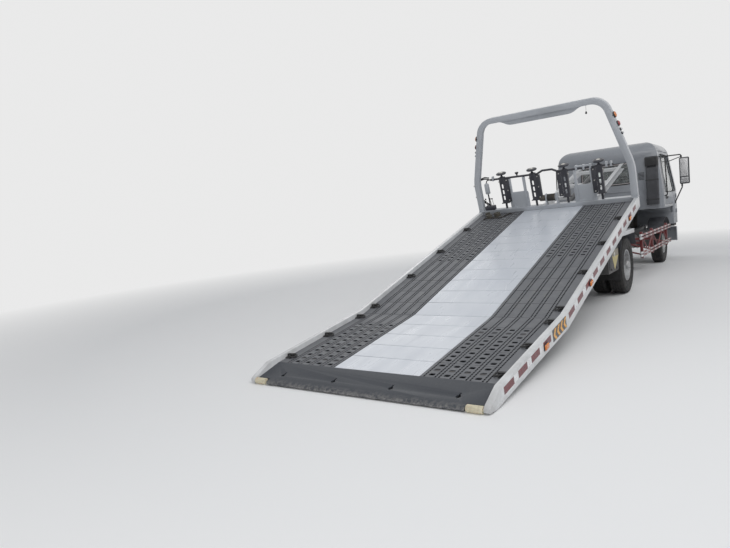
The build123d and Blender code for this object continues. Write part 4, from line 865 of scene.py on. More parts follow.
def studio():
    """Pale floor, even world light and three soft lamps."""
    bm = bmesh.new()
    bmesh.ops.create_grid(bm, x_segments=1, y_segments=1, size=60)
    floor = made("floor", bm)
    floor.data.materials.append(pale_ground())
    lamp("sky_lamp", (-3, -7, 11), (0, 0, 0.8), 9, 540)
    lamp("rear_lamp", (-11, -3, 6), (-1, 0, 1), 6, 230)
    lamp("far_lamp", (7, 9, 8), (1, 0, 1), 7, 150)
    world = bpy.data.worlds.new("studio_light")
    bpy.context.scene.world = world
    world.use_nodes = True
    tree = world.node_tree
    light = tree.nodes["Background"]
    feed(tree, light.inputs["Color"], (0.93, 0.96, 1.0, 1))
    feed(tree, light.inputs["Strength"], 0.40)
    seen = add_node(tree, "ShaderNodeBackground", {"Color": (*BACKGROUND, 1), "Strength": 1.0})
    rays = add_node(tree, "ShaderNodeLightPath").outputs
    direct = rays["Is Camera Ray"]
    for ray in ("Is Glossy Ray", "Is Transmission Ray"):
        direct = add_node(tree, "ShaderNodeMath", {0: direct, 1: rays[ray]}, operation="MAXIMUM").outputs[0]
    mix = add_node(tree, "ShaderNodeMixShader", {"Fac": direct, 1: light.outputs[0], 2: seen.outputs[0]})
    feed(tree, tree.nodes["World Output"].inputs["Surface"], mix.outputs[0])
    bpy.context.scene.view_settings.view_transform = "Standard"


# Deck

REAR_PLATES = 5
FRONT_PLATES = 7
MIDDLE_PLATES = 5
PLATE_PITCH = 0.281
REAR_PITCH = REAR_LENGTH / REAR_PLATES
FRONT_START = MAIN_LENGTH - SILL_DEPTH - FRONT_PLATES * PLATE_PITCH
MIDDLE_PITCH = FRONT_START / MIDDLE_PLATES
SEAM_GAP = 0.005
SLOT_COLUMNS = (0.515, 0.645, 0.775, 0.905)
SLOT_ROW_PITCH = 0.085
SLOT_LENGTH = 0.052
SLOT_WIDTH = 0.039
SLOT_CORNER = 0.012
LIP_LEVELS = ((0.0045, 0.0), (0.0030, 0.0012), (0.0012, 0.0013), (-0.0004, 0.0002), (-0.0004, -0.006))
WELL_LEVELS = ((0.0, -0.0055), (0.001, -0.018), (0.004, -0.034))
MARK_LINES = (0.450, 0.580, 0.710, 0.840, 0.970)
MARK_PAIR = 0.016
MARK_PITCH = 0.032
MARK_RIM = ((0.0285, 0.0180, 0.0), (0.0265, 0.0155, 0.0007), (0.0225, 0.0125, 0.0003))


def deck_spans():
    """(plane, start, end, slotted) of every deck plate from the tail to the sill."""
    spans = []
    for index in range(REAR_PLATES):
        start = -REAR_LENGTH + index * REAR_PITCH
        spans.append((REAR_PLANE, start, start + REAR_PITCH, index < REAR_PLATES - 1))
    for index in range(MIDDLE_PLATES):
        spans.append((MAIN_PLANE, index * MIDDLE_PITCH, (index + 1) * MIDDLE_PITCH, False))
    for index in range(FRONT_PLATES):
        start = FRONT_START + index * PLATE_PITCH
        spans.append((MAIN_PLANE, start, start + PLATE_PITCH, True))
    return spans + [(MAIN_PLANE, MAIN_LENGTH - SILL_DEPTH, MAIN_LENGTH, False)]


def slab(plane, start, end, y, paint, holes=()):
    """Deck plate between seams, its top face on the deck's plane."""
    start, end = start + SEAM_GAP / 2, end - SEAM_GAP / 2
    outline = [(start, y[0]), (end, y[0]), (end, y[1]), (start, y[1])]
    return flat_plate("slab", outline, list(holes), DECK_THICKNESS, paint,
                      plane @ Matrix.Translation((0, 0, -DECK_THICKNESS / 2)), 0.0012)


def seam_strips(y):
    """Backing under the seams in near-black painted shade, so that no light comes through."""
    bm = bmesh.new()
    for plane, *ends, _ in deck_spans():
        for u in ends:
            add_box(bm, about(u, 0.006), y, (-0.0058, -0.0042), plane)
    return rounded("seams", bm, "painted_shade", 0)


def slot_loop(x, y, grow=0.0):
    """Outline of a strap slot, grown by a distance."""
    return soft_rectangle(x, y, SLOT_WIDTH + 2 * grow, SLOT_LENGTH + 2 * grow, SLOT_CORNER + grow)


def slot_wall(name, levels, paint):
    """Walls of a strap slot through (growth, level) pairs."""
    return wall(name, [[(x, y, level) for x, y in slot_loop(0, 0, grow)] for grow, level in levels], paint)


def mark_rim():
    """Raised rim round one small punched mark."""
    turns = ((1, 1), (-1, 1), (-1, -1), (1, -1))
    return wall("mark_rim", [[(sx * length / 2, sy * width / 2, level) for sx, sy in turns]
                             for length, width, level in MARK_RIM], "track")


def mark_lines(side, rim, painted_shade):
    """Pairs of dashed punched lines along one track."""
    rims = []
    pits = []
    for plane, start, end in ((REAR_PLANE, -REAR_LENGTH, 0.0), (MAIN_PLANE, 0.0, MAIN_LENGTH - SILL_DEPTH)):
        count = int((end - start) / MARK_PITCH)
        first = start + ((end - start) - (count - 1) * MARK_PITCH) / 2
        for line in MARK_LINES:
            for shift in (-MARK_PAIR, MARK_PAIR):
                if side * (line + shift) < 0 and line + shift < CENTRE_HALF + 0.012:
                    continue
                place = plane @ Matrix.Translation((first, side * (line + shift), 0))
                rims.append(rows("marks", rim, "track", place, count, MARK_PITCH))
                # Each mark's pit is a flat box of near-black painted shade in the punched hole.
                pits.append(rows("pits", painted_shade, "painted_shade", place, count, MARK_PITCH))
    return rims, pits


def tracks():
    """Both wheel tracks: bevelled plates, raised slots, punched marks and smooth margins."""
    lip = smooth(slot_wall("slot_lip", LIP_LEVELS, "track"), 60)
    # The slots' wells and the marks' flat pits are near-black painted shade for the dark inside of the holes.
    well = slot_wall("slot_well", WELL_LEVELS, "painted_shade")
    rim = mark_rim()
    painted_shade = made("mark_pit", boxes([((-0.0110, 0.0110), (-0.0062, 0.0062), (-0.0005, 0.0006))]), "painted_shade")
    for side, word in SIDES:
        slabs = []
        lips = []
        wells = []
        grid = (3, SLOT_ROW_PITCH, len(SLOT_COLUMNS), side * (SLOT_COLUMNS[1] - SLOT_COLUMNS[0]))
        inner, outer = span(side, CENTRE_HALF + 0.001, MARGIN_Y)
        for plane, start, end, slotted in deck_spans():
            holes = []
            if slotted:
                middle = (start + end) / 2
                holes = [slot_loop(middle + row * SLOT_ROW_PITCH, side * column)
                         for row in (-1, 0, 1) for column in SLOT_COLUMNS]
                place = plane @ Matrix.Translation((middle - SLOT_ROW_PITCH, side * SLOT_COLUMNS[0], 0))
                lips.append(rows("lips", lip, "track", place, *grid))
                wells.append(rows("wells", well, "painted_shade", place, *grid))
            slabs.append(slab(plane, start, end, (inner, outer), "track", holes))
        edge = span(side, MARGIN_Y + SEAM_GAP / 2, RAIL_INNER_Y - 0.001)
        slabs.append(slab(REAR_PLANE, -REAR_LENGTH, 0.0, edge, "track"))
        slabs.append(slab(MAIN_PLANE, 0.0, MAIN_LENGTH, edge, "track"))
        slabs.append(seam_strips((min(inner, edge[0]), max(outer, edge[1]))))
        joined("deck_plates_" + word, slabs + lips, "bed", "deck_grey", "deck_track_" + word)
        joined("slot_wells_" + word, wells, "bed", "chassis_black")
        rims, pits = mark_lines(side, rim, painted_shade)
        joined("deck_marks_" + word, rims, "bed", "deck_grey")
        joined("deck_mark_pits_" + word, pits, "bed", "deck_grey")
    drop(lip, well, rim, painted_shade)


def centre_strip():
    """White middle of the deck in plates between fine seams."""
    y = (-CENTRE_HALF, CENTRE_HALF)
    slabs = [slab(plane, start, end, y, "deck") for plane, start, end, _ in deck_spans()]
    joined("deck_middle", slabs + [seam_strips(y)], "bed", "deck_white", "deck_centre")


# Rails, lip and rollers

NOTCH_Y = 0.96
REFLECTOR_LENGTH = 0.185
REFLECTOR_HEIGHT = 0.056
REFLECTOR_W = -0.012
REFLECTOR_REAR = (-0.53, -0.81, -1.09, -1.36)
WHITE_REAR = (-0.67, -0.95, -1.225)
WHITE_LENGTH = 0.088
REFLECTOR_MAIN_START = 0.17
REFLECTOR_PITCH = 0.30
REFLECTOR_MAIN_COUNT = 11
CHEVRON_U = (-0.389, -0.014)
CHEVRON_HEIGHT = 0.105
CHEVRON_W = REFLECTOR_W - 0.008
RING_U = (-1.252, -0.687, -0.125, 0.175, 1.028, 1.861, 2.740)
RING_REACH = 0.034


def tail():
    """Lip, rails and the tail's rollers."""
    skin("tail_lip", "deck_grey", "lip", 0.003)
    skin("side_rails", "white_paint", "white", 0.004)
    low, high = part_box("tail_rollers")
    radius = (high.z - low.z) / 2
    inner = NOTCH_Y + 0.008
    length = RAIL_INNER_Y - 0.0003 - inner
    profile = [(0, 0), (0.011, 0), (0.011, 0.004), (radius - 0.004, 0.004), (radius, 0.009)]
    for groove in (0.3, 0.5, 0.7):
        middle = length * groove
        profile += [(radius, middle - 0.002), (radius - 0.0012, middle), (radius, middle + 0.002)]
    profile += [(radius, length - 0.009), (radius - 0.004, length - 0.004), (0.011, length - 0.004),
                (0.011, length), (0, length)]
    places = [facing((low.x + radius, side * inner, low.z + radius), side) for side in (-1, 1)]
    pieces = [lathe("roller", profile, "nylon", place, 48, 40) for place in places]
    joined("rollers", pieces, "bed", "nylon", "tail_rollers")


def add_patches(bm, side, places, length, w=REFLECTOR_W, height=REFLECTOR_HEIGHT, lift=0.0012):
    """Thin plates on the outer face of a side rail."""
    y = span(side, BED_HALF - 0.001, BED_HALF + lift)
    for u in places:
        add_box(bm, about(u, length / 2), y, about(w, height / 2), plane_at(u))


def rail_tapes():
    """Red and white reflectors along the rails and the chevron plates behind the bend."""
    main = [REFLECTOR_MAIN_START + index * REFLECTOR_PITCH for index in range(REFLECTOR_MAIN_COUNT)]
    gaps = [REFLECTOR_MAIN_START + (index + 0.5) * REFLECTOR_PITCH for index in range(len(main) - 1)]
    for side, word in SIDES:
        red, white, plate = (bmesh.new() for _ in range(3))
        add_patches(red, side, [*REFLECTOR_REAR, *main], REFLECTOR_LENGTH)
        add_patches(white, side, gaps, REFLECTOR_PITCH - REFLECTOR_LENGTH - 0.006)
        add_patches(white, side, WHITE_REAR, WHITE_LENGTH)
        add_patches(plate, side, [sum(CHEVRON_U) / 2], CHEVRON_U[1] - CHEVRON_U[0], CHEVRON_W, CHEVRON_HEIGHT,
                    0.0016)
        fit("reflectors_red_" + word, red, "tape_red", "bed", "lamp_lens", 0.0006, 1)
        fit("reflectors_white_" + word, white, "tape_white", "bed", "white_paint", 0.0006, 1)
        fit("chevron_plate_" + word, plate, "tape_black", "bed", "black_plastic", 0.001, 1)
        arrows = [chevron(side, CHEVRON_U[0] + 0.018 + index * 0.092) for index in range(4)]
        joined("chevrons_" + word, arrows, "bed", "lamp_lens")


def chevron(side, tip):
    """One amber arrow band with its point to the tail, in the plane of the rail's side."""
    half = CHEVRON_HEIGHT / 2 - 0.005
    reach = tip + 0.045
    band = 0.040
    outline = [(tip, 0.0), (reach, half), (reach + band, half), (tip + band, 0.0), (reach + band, -half),
               (reach, -half)]
    place = turned((0, side * (BED_HALF + 0.0021), CHEVRON_W), QUARTER, "X")
    return flat_plate("chevron", outline, [], 0.0012, "tape_amber", REAR_PLANE @ place, 0.0003)


def lashing_gear():
    """Lashing eyes with a loose ring laid in each."""
    skin("lashing_eyes", "chassis_black", "seal", 0.002)
    rings = []
    for u in RING_U:
        for side in (-1, 1):
            y = side * (RAIL_INNER_Y - 0.040)
            loop = [plane_at(u) @ Vector((u + RING_REACH * math.sin(turn),
                                          y - side * (0.030 - RING_REACH * math.cos(turn)),
                                          0.0105 + 0.012 * (1 + math.cos(turn)) / 2)) for turn in circle(28)]
            rings.append(tube("ring", loop, 0.0070, "seal", 8, closed=True))
    joined("lashing_rings", rings, "bed", "chassis_black")


# Wheels

RIM_SEAT = 0.206
NUT_CIRCLE = 0.088
NUT_COUNT = 6
NUT_FACE = {"front": 0.8082, "rear": 0.7647}
LUG_COUNT = 60
SIDEWALL = ((RIM_SEAT, -0.075), (RIM_SEAT + 0.011, -0.0755), (0.226, -0.083), (0.2275, -0.0865),
            (0.2315, -0.087), (0.250, -0.0935), (0.272, -0.0975), (0.2745, -0.0992), (0.279, -0.0993),
            (0.2815, -0.0978), (0.300, -0.0985), (0.322, -0.0968), (0.3245, -0.0976), (0.329, -0.0972),
            (0.331, -0.0955), (0.352, -0.0925), (0.366, -0.0905), (0.3705, -0.0868), (0.3735, -0.0795))


def mirrored(profile):
    """Profile on the other side of the tyre's middle, in running order."""
    return [(radius, -level) for radius, level in reversed(profile)]


def tyre_profile():
    """Section of a ribbed highway tyre as (radius, distance from its middle)."""
    side = [(radius, level * TYRE_HALF / 0.1) for radius, level in SIDEWALL]
    tread = []
    for middle in (-0.048, -0.0165, 0.0165, 0.048):
        top = TYRE_RADIUS - 0.0003 - abs(middle) * 0.02
        foot = TYRE_RADIUS - 0.009
        tread += [(top, middle - 0.0055), (foot, middle - 0.0035)]
        tread += [(foot, middle + 0.0035), (top, middle + 0.0055)]
    shoulder = [(TYRE_RADIUS - 0.010, -0.0762), (TYRE_RADIUS - 0.0012, -0.0715)]
    inside = [(RIM_SEAT, 0.07), (RIM_SEAT, -0.07)]
    return side + shoulder + tread + mirrored(shoulder) + mirrored(side) + inside + [side[0]]


def shoulder_lug():
    """One block of the shoulder, reaching the tread's edge."""
    bm = bmesh.new()
    corners = [(-0.013, 0.0), (0.013, 0.0), (0.0115, 0.019), (-0.0115, 0.019)]
    low = [bm.verts.new((x, y, -0.007)) for x, y in corners]
    high = [bm.verts.new((x * 0.9, 0.003 + y * 0.72, 0.0030)) for x, y in corners]
    bm.faces.new(reversed(low))
    bm.faces.new(high)
    bridge(bm, [low, high])
    return made("shoulder_lug", bm, "tyre")


def tyre_piece(centre, side, lug):
    """Ribbed carcass with a ring of lugs at each shoulder."""
    place = facing(centre, side)
    pieces = [lathe("carcass", tyre_profile(), "tyre", place, 96, 28)]
    for face in (-1, 1):
        ring = bmesh.new()
        out = Matrix.Translation((TYRE_RADIUS - 0.0105, 0, face * 0.0745))
        tip = Matrix.Rotation(math.radians(-face * 33), 4, "Y")
        tilt = Matrix.Rotation(QUARTER, 4, "Y") @ Matrix.Rotation(face * QUARTER, 4, "Z")
        for turn in circle(LUG_COUNT, 0.5 if face > 0 else 0):
            start = len(ring.verts)
            ring.from_mesh(lug.data)
            ring.verts.ensure_lookup_table()
            spin = Matrix.Rotation(turn, 4, "Z")
            bmesh.ops.transform(ring, matrix=place @ spin @ out @ tip @ tilt, verts=ring.verts[start:])
        bmesh.ops.recalc_face_normals(ring, faces=ring.faces)
        pieces.append(made("lugs", ring, "tyre"))
    return pieces


def wheels():
    """Tyres with tread, softened rims, nuts and hub caps."""
    lug = shoulder_lug()
    nut = stacked("wheel_nut", ((18, 0.0175, 0.016, 0.004, 0.002), (6, 0.0145, 0.0135, 0.018, 0.013),
                                (12, 0.008, 0.007, 0.012, 0.026)), "zinc")
    cap = [(0.0595, -0.004), (0.0595, 0.0), (0.058, 0.010), (0.052, 0.022), (0.040, 0.030), (0.022, 0.0335),
           (0.0, 0.034)]
    for axle, many in (("front", ""), ("rear", "s")):
        for side, word in SIDES:
            name = f"{axle}_{word}"
            body, tyre, rim = (f"{kind}{many}_{name}" for kind in ("wheel", "tyre", "rim"))
            low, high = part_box(tyre)
            middle = (low.y + high.y) / 2
            shift = (high.y - low.y - 2 * TYRE_HALF) / 2
            hub = Vector(((low.x + high.x) / 2, 0, (low.z + high.z) / 2))
            pieces = []
            for y in [middle] if shift < 0.01 else about(middle, shift):
                pieces += tyre_piece(hub + Vector((0, y, 0)), side, lug)
            joined("tread_" + name, pieces, body, "tyre", tyre)
            skin(rim, "rim_paint", "rim", 0.003, 40)
            spots = [(hub + Vector((NUT_CIRCLE * math.cos(t), side * NUT_FACE[axle], NUT_CIRCLE * math.sin(t))),
                      (0, side, 0)) for t in circle(NUT_COUNT, 0.25)]
            rim_low, rim_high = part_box(rim)
            out = rim_high.y if side > 0 else -rim_low.y
            place = facing(hub + Vector((0, side * (out - 0.001), 0)), side)
            pieces = [scattered("nuts", nut, "zinc", spots), lathe("cap", cap, "rim", place, 40, 40)]
            joined("nuts_" + name, pieces, body, "rim_paint")
    drop(lug, nut)


# Chassis pieces

GUARD_TUBE = 0.0155
STRIPE = 0.115
GUARD_LEVELS = (0.452, 0.496, 0.704, 0.748)
GUARD_POSTS = (0.70, 1.50, 2.86)
GUARD_BRACES = (0.70, 1.10, 1.50, 1.95, 2.40, 2.86)
CHASSIS_SKINS = (
    ("fuel_tank", "chassis_black", "tank", 0.004), ("battery_box", "chassis_black", "chassis", 0.0022),
    ("toolboxes", "chassis_black", "chassis", 0.004), ("mudguards", "white_paint", "duct", 0.0022),
    ("rear_lamp_bar", "chassis_black", "chassis", 0.0022), ("front_bumper", "cab_paint", "cab", 0.004),
    ("front_axle", "chassis_black", "cast", 0.0022), ("rear_axle", "cast_metal", "cast", 0.0022),
    ("chassis_frame", "chassis_black", "chassis", 0.0022), ("subframe", "chassis_black", "chassis", 0.0022),
    ("engine_block", "cast_metal", "cast", 0.0022), ("drive_line", "cast_metal", "cast", 0.0022),
)
DAMPERS = (
    ((WHEELBASE - 0.13, 0.42, 0.345), (WHEELBASE - 0.17, 0.405, 0.50), 0.020, "zinc", 16),
    ((WHEELBASE - 0.165, 0.407, 0.49), (WHEELBASE - 0.20, 0.395, 0.64), 0.030, "chassis", 20),
    ((0.12, 0.36, 0.40), (0.20, 0.35, 0.54), 0.020, "zinc", 16),
    ((0.195, 0.351, 0.53), (0.28, 0.34, 0.665), 0.030, "chassis", 20),
)
CLAMPS = ((0.0, 0.452, 0.335, 0.505), (WHEELBASE, 0.335, 0.285, 0.412))
BOLT_X = (-1.04, -0.78, 0.36, 0.80, 1.30, 1.50, 1.82, 2.30, 2.90, 3.05, 4.20, 4.52)
BOLT_Z = (0.545, 0.60, 0.655)
RAIL_WEB_Y = 0.375


def side_guards():
    """Striped tubes with white end caps, on dark red posts and braces."""
    low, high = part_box("side_guards")
    y = high.y - 0.022
    posts = bmesh.new()
    for side in (-1, 1):
        for x in GUARD_POSTS:
            centre = REAR_AXLE_X + x
            add_box(posts, about(centre, 0.020), span(side, y - 0.050, y - 0.012), (0.400, 0.790))
            add_box(posts, about(centre, 0.018), span(side, 0.376, y - 0.035), (0.612, 0.648))
            add_rod(posts, (centre, side * 0.42, 0.625), (centre, side * (y - 0.035), 0.455), 0.012, 10)
        for index, ends in enumerate(zip(GUARD_BRACES, GUARD_BRACES[1:])):
            levels = (0.480, 0.720) if index % 2 else (0.720, 0.480)
            add_rod(posts, *[at(x, side * (y - 0.020), level) for x, level in zip(ends, levels)], 0.010, 10)
    seat_on(rounded("guard_posts", posts, "red", 0.003, 2), "chassis", "frame_red", "side_guards")
    start, end = low.x + 0.02, high.x - 0.02
    count = int(round((high.x - low.x) / STRIPE))
    step = (high.x - low.x - 0.04) / count
    sleeve = [(0, 0), (GUARD_TUBE, 0), (GUARD_TUBE, step), (0, step)]
    cap = [(GUARD_TUBE + 0.004, 0), (GUARD_TUBE + 0.004, 0.010), (GUARD_TUBE - 0.003, 0.0175), (0, 0.0195)]
    tubes = {"red": [], "guard_white": []}
    for side in (-1, 1):
        for level in GUARD_LEVELS:
            for index in range(count):
                colour = "red" if index % 3 else "guard_white"
                place = turned((start + index * step, side * y, level), QUARTER, "Y")
                tubes[colour].append(lathe("sleeve", sleeve, colour, place, 20, 40))
            for x, way in ((start, -1), (end, 1)):
                place = turned((x, side * y, level), way * QUARTER, "Y")
                tubes["guard_white"].append(lathe("end", cap, "white", place, 20, 40))
    joined("guard_tubes_red", tubes["red"], "chassis", "frame_red")
    joined("guard_tubes_white", tubes["guard_white"], "chassis", "white_paint")


def tank_and_boxes():
    """Tank straps and cap, locker doors and latches, and the battery cover's ribs."""
    for node, slot, paint, width in CHASSIS_SKINS:
        skin(node, slot, paint, width, 35)
    low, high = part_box("fuel_tank")
    bands = []
    inner, outer = high.y - 0.37, high.y + 0.0015
    for x in (low.x + 0.14, low.x + 0.66):
        top, foot = high.z + 0.0015, low.z - 0.0015
        route = bent([(x, inner, top), (x, outer, top), (x, outer, foot), (x, inner, foot)], 0.052, 8)
        bands.append(ribbon("band", route, Vector((1, 0, 0)), 0.040, 0.003, "zinc"))
    cap = [(0.032, -0.010), (0.032, 0.010), (0.040, 0.012), (0.040, 0.036), (0.034, 0.043), (0.0, 0.045)]
    place = turned((high.x - 0.14, high.y - 0.06, high.z - 0.006), math.radians(-20), "X")
    bands.append(lathe("cap", cap, "plastic", place, 32))
    joined("tank_bands", bands, "chassis", "chassis_black")
    low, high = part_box("toolboxes")
    doors = bmesh.new()
    knob = [(0.030, 0), (0.030, 0.006), (0.026, 0.011), (0, 0.012)]
    knobs = []
    for side in (-1, 1):
        add_box(doors, (low.x + 0.045, high.x - 0.045), span(side, high.y - 0.001, high.y + 0.006),
                (low.z + 0.045, high.z - 0.045))
        for x in (low.x + 0.14, high.x - 0.14):
            y = span(side, high.y + 0.005, high.y + 0.014)
            add_box(doors, about(x, 0.022), y, near(low.z, 0.030, 0.060))
        place = facing(((low.x + high.x) / 2, side * (high.y + 0.006), high.z - 0.085), side)
        knobs.append(lathe("latch", knob, "zinc", place, 28))
    fit("locker_doors", doors, "chassis", "chassis", "chassis_black", 0.004)
    joined("locker_latches", knobs, "chassis", "chassis_black")
    ribs = []
    for index in range(7):
        x = near(REAR_AXLE_X + 2.39 + index * 0.053, 0, 0.016)
        ribs += [(x, (-0.826, -0.480), (0.688, 0.696)), (x, (-0.8265, -0.8195), (0.440, 0.694))]
    fit("battery_ribs", boxes(ribs), "plastic", "chassis", "chassis_black", 0.0015)


def lamp_clusters():
    """Rear lamps with amber, red and clear sections, and a bare plate."""
    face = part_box("rear_lamp_bar")[0].x
    lenses = {"red_lens": (0.685, 0.797), "amber": (0.80, 0.858), "clear": (0.624, 0.682)}
    for colour, ends in lenses.items():
        bm = boxes([(near(face, -0.0105, 0.004), span(side, *ends), (0.527, 0.593)) for side in (-1, 1)])
        fit("rear_lamp_" + colour, bm, colour, "chassis", "lamp_lens", 0.005, 3)
    bm = boxes([(near(face, -0.004, 0.026), span(side, 0.612, 0.868), (0.517, 0.603)) for side in (-1, 1)])
    fit("rear_lamp_plastic", bm, "plastic", "chassis", "black_plastic", 0.005, 3)
    plate = boxes([(near(face, 0.0175, 0.0215), (-0.215, 0.215), (0.5, 0.62))])
    fit("plate_holder", plate, "white", "chassis", "white_paint", 0.0015)


def springs_and_axles():
    """Shock absorbers, spring clamps and brake chambers."""
    pieces = []
    for side in (-1, 1):
        for start, end, radius, paint, sides in DAMPERS:
            ends = [at(x, side * y, z) for x, y, z in (start, end)]
            pieces.append(tube("damper", ends, radius, paint, sides))
        for x, y, low, high in CLAMPS:
            for dx in (-0.048, 0.048):
                for dy in (-0.038, 0.038):
                    ends = [at(x + dx, side * (y + dy), level) for level in (low, high)]
                    pieces.append(tube("clamp", ends, 0.0075, "zinc", 10))
        ends = [at(-0.16, side * 0.340, 0.435), at(-0.30, side * 0.340, 0.455)]
        pieces.append(tube("chamber", ends, 0.052, "chassis", 28))
    joined("dampers", pieces, "chassis", "chassis_black")


def chassis_bolts():
    """Rows of bolt heads on the rails' outer webs."""
    cones = ((14, 0.0125, 0.0125, 0.002, 0.001), (6, 0.0095, 0.009, 0.008, 0.006))
    bolt = stacked("bolt_head", cones, "zinc")
    spots = [(at(x, side * RAIL_WEB_Y, z), (0, side, 0)) for side in (-1, 1) for x in BOLT_X for z in BOLT_Z]
    seat_on(scattered("rail_bolts", bolt, "zinc", spots), "chassis", "chassis_black")
    drop(bolt)


# Cab

CAB_SKINS = (("cab_shell", "cab_paint", "cab", 0.006), ("door_left", "cab_paint", "cab", 0.005),
             ("door_right", "cab_paint", "cab", 0.005), ("intake_duct", "black_plastic", "duct", 0.006),
             ("grille", "black_plastic", "plastic", 0.003), ("dashboard", "black_plastic", "plastic", 0.004))
REAR_WINDOW = (-0.45, 0.45, 1.55, 1.94)
REAR_RUBBERS = (("rear_seal", 0.0, 0.0, 0.07, 0.011, "seal"),
                ("rear_bead", 0.012, 0.004, 0.06, 0.0075, "guard_white"))
HANDLE_X, HANDLE_Z = 3.46, 1.235
CAB_HALF = 0.960
SCREEN = ((-0.815, 1.316), (-0.812, 1.392), (-0.714, 2.104), (0.714, 2.104), (0.812, 1.392), (0.815, 1.316))
SCREEN_FOOT_LEAN = math.radians(60)
NOSE_FLAP = ((-0.80, 0.985), (-0.80, 1.262), (0.80, 1.262), (0.80, 0.985))
SIDE_WINDOW = ((0.730, 1.340), (0.730, 1.420), (0.500, 2.030), (-0.310, 2.040), (-0.310, 1.340))
GUTTER = ((-0.545, 0.868, 2.094), (-0.44, 0.879, 2.097), (0.36, 0.879, 2.097), (0.545, 0.874, 2.083),
          (0.600, 0.862, 2.020))
GRAB_BAR = ((0.885, 1.990), (0.985, 1.975), (1.004, 1.280), (0.955, 1.265))
BELT = ((0.80, 1.90), (0.815, 1.50), (0.815, 1.11))
CAB_FLOOR = 1.095
MIRROR_X = 0.810
MIRROR_Y = 1.09
MIRROR_Z = (1.460, 1.985)
LOCKER_PLATE = ((-0.86, 0.675), (-0.53, 0.675), (-0.53, 0.590), (-0.86, 0.600))
LOCKER_WEDGE = ((-0.86, 0.598), (-0.53, 0.588), (-0.75, 0.420))

cab_mesh = frame["nodes"]["cab_shell"].data
CAB_WALLS = BVHTree.FromPolygons([vert.co for vert in cab_mesh.vertices],
                                 [tuple(face.vertices) for face in cab_mesh.polygons])


def on_nose(y, z, lift=0.0):
    """Point on the cab's front wall, found by a ray from ahead."""
    place, normal = CAB_WALLS.ray_cast(ahead(3, y, z), Vector((-1, 0, 0)))[:2]
    return place + normal * lift


def cab_side(z):
    """Half width of the cab at a height."""
    return CAB_HALF if z <= 1.38 else CAB_HALF - 0.080 * (z - 1.38) / 0.70


def cab_paintwork():
    """Softened cab panels, doors, duct, grille and dashboard."""
    for node, slot, paint, width in CAB_SKINS:
        skin(node, slot, paint, width, 40)


def cab_seals():
    """Rubber seal and pale bead round the cab's rear window."""
    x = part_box("cab_shell")[0].x - 0.001
    y0, y1, z0, z1 = REAR_WINDOW
    pieces = []
    for name, inset, back, corner, radius, paint in REAR_RUBBERS:
        left, right, foot, top = y0 + inset, y1 - inset, z0 + inset, z1 - inset
        loop = [(x - back, y, z) for y, z in ((left, top), (left, foot), (right, foot), (right, top))]
        pieces.append(tube(name, loop_of(loop, corner), radius, paint, 10, closed=True))
    joined("rear_window_seal", pieces, "cab", "black_plastic")


def door_trim():
    """Pull handle with its cup, lock and lower glass strip of each door."""
    x, z = HANDLE_X, HANDLE_Z
    for side, word in SIDES:
        cup = boxes([(near(REAR_AXLE_X + x, -0.01, 0.17), span(side, CAB_HALF - 0.001, CAB_HALF + 0.004),
                      about(z, 0.030))])
        grip = [at(x + step, side * (CAB_HALF + out), z)
                for step, out in ((0.005, 0.002), (0.02, 0.026), (0.14, 0.026), (0.155, 0.002))]
        lock = facing(at(x + 0.06, side * (CAB_HALF + 0.0005), z - 0.055), side)
        strip = boxes([(near(REAR_AXLE_X, 3.43, 4.485), span(side, 0.957, 0.966), (1.331, 1.345))])
        joined("door_trim_" + word, [
            rounded("cup", cup, "plastic", 0.004, 3),
            tube("grip", grip, 0.0085, "plastic", 12, 0.016),
            lathe("lock", [(0.011, 0), (0.011, 0.003), (0.008, 0.0045), (0.0, 0.0045)], "zinc", lock, 20),
            rounded("strip", strip, "seal", 0.002, 2)], "door_" + word, "black_plastic")


def duct_details():
    """Rain cap, louvres and clamp bands of the air intake."""
    low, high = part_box("intake_duct")
    cap = boxes([((low.x - 0.006, high.x), (low.y - 0.008, high.y + 0.008), near(high.z, -0.17, -0.012))])
    slots = boxes([(near(low.x, -0.010, -0.004), (low.y + 0.014, high.y - 0.014),
                    near(high.z - 0.150 + index * 0.019, 0, 0.008)) for index in range(7)])
    straps = boxes([((low.x - 0.0035, high.x), (low.y - 0.0035, high.y + 0.0035), near(z, 0, 0.026))
                    for z in (low.z + 0.08, (low.z + high.z) / 2)])
    joined("duct_cap", [rounded("cap", cap, "plastic", 0.010, 3), rounded("louvres", slots, "seal", 0.001, 1),
                        rounded("straps", straps, "chassis", 0.001, 1)], "cab", "black_plastic")


def nose_details():
    """Headlamp reflectors and bulbs, fog lamps and the front's bare plate."""
    pieces = []
    for side in (-1, 1):
        for x, y, radius in ((4.752, 0.635, 0.058), (4.732, 0.762, 0.050)):
            place = turned(at(x, side * y, 0.845), QUARTER, "Y")
            bowl = [(0.0, -0.030), (0.012, -0.029), (0.030, -0.022), (radius - 0.004, 0.0), (radius, 0.004)]
            pieces.append(lathe("bowl", bowl, "chrome", place, 36, 40))
            bulb = [(0.009, -0.026), (0.009, -0.010), (0.007, -0.001), (0.0, 0.0)]
            pieces.append(lathe("bulb", bulb, "clear", place, 18, 40))
    joined("lamp_bowls", pieces, "cab", "head_lens")
    ring = [(0.062, 0.0), (0.062, 0.012), (0.055, 0.016), (0.050, 0.010), (0.047, 0.010), (0.030, 0.014),
            (0.0, 0.016)]
    fogs = [lathe("fog", ring, "clear", turned(at(4.800, side * 0.66, 0.475), QUARTER, "Y"), 36, 40)
            for side in (-1, 1)]
    joined("fog_lamps", fogs, "chassis", "head_lens")
    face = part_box("front_bumper")[1].x
    fit("front_plate", boxes([(near(face, -0.004, 0.0), (-0.22, 0.22), (0.385, 0.525))]), "white",
        "chassis", "white_paint", 0.002)


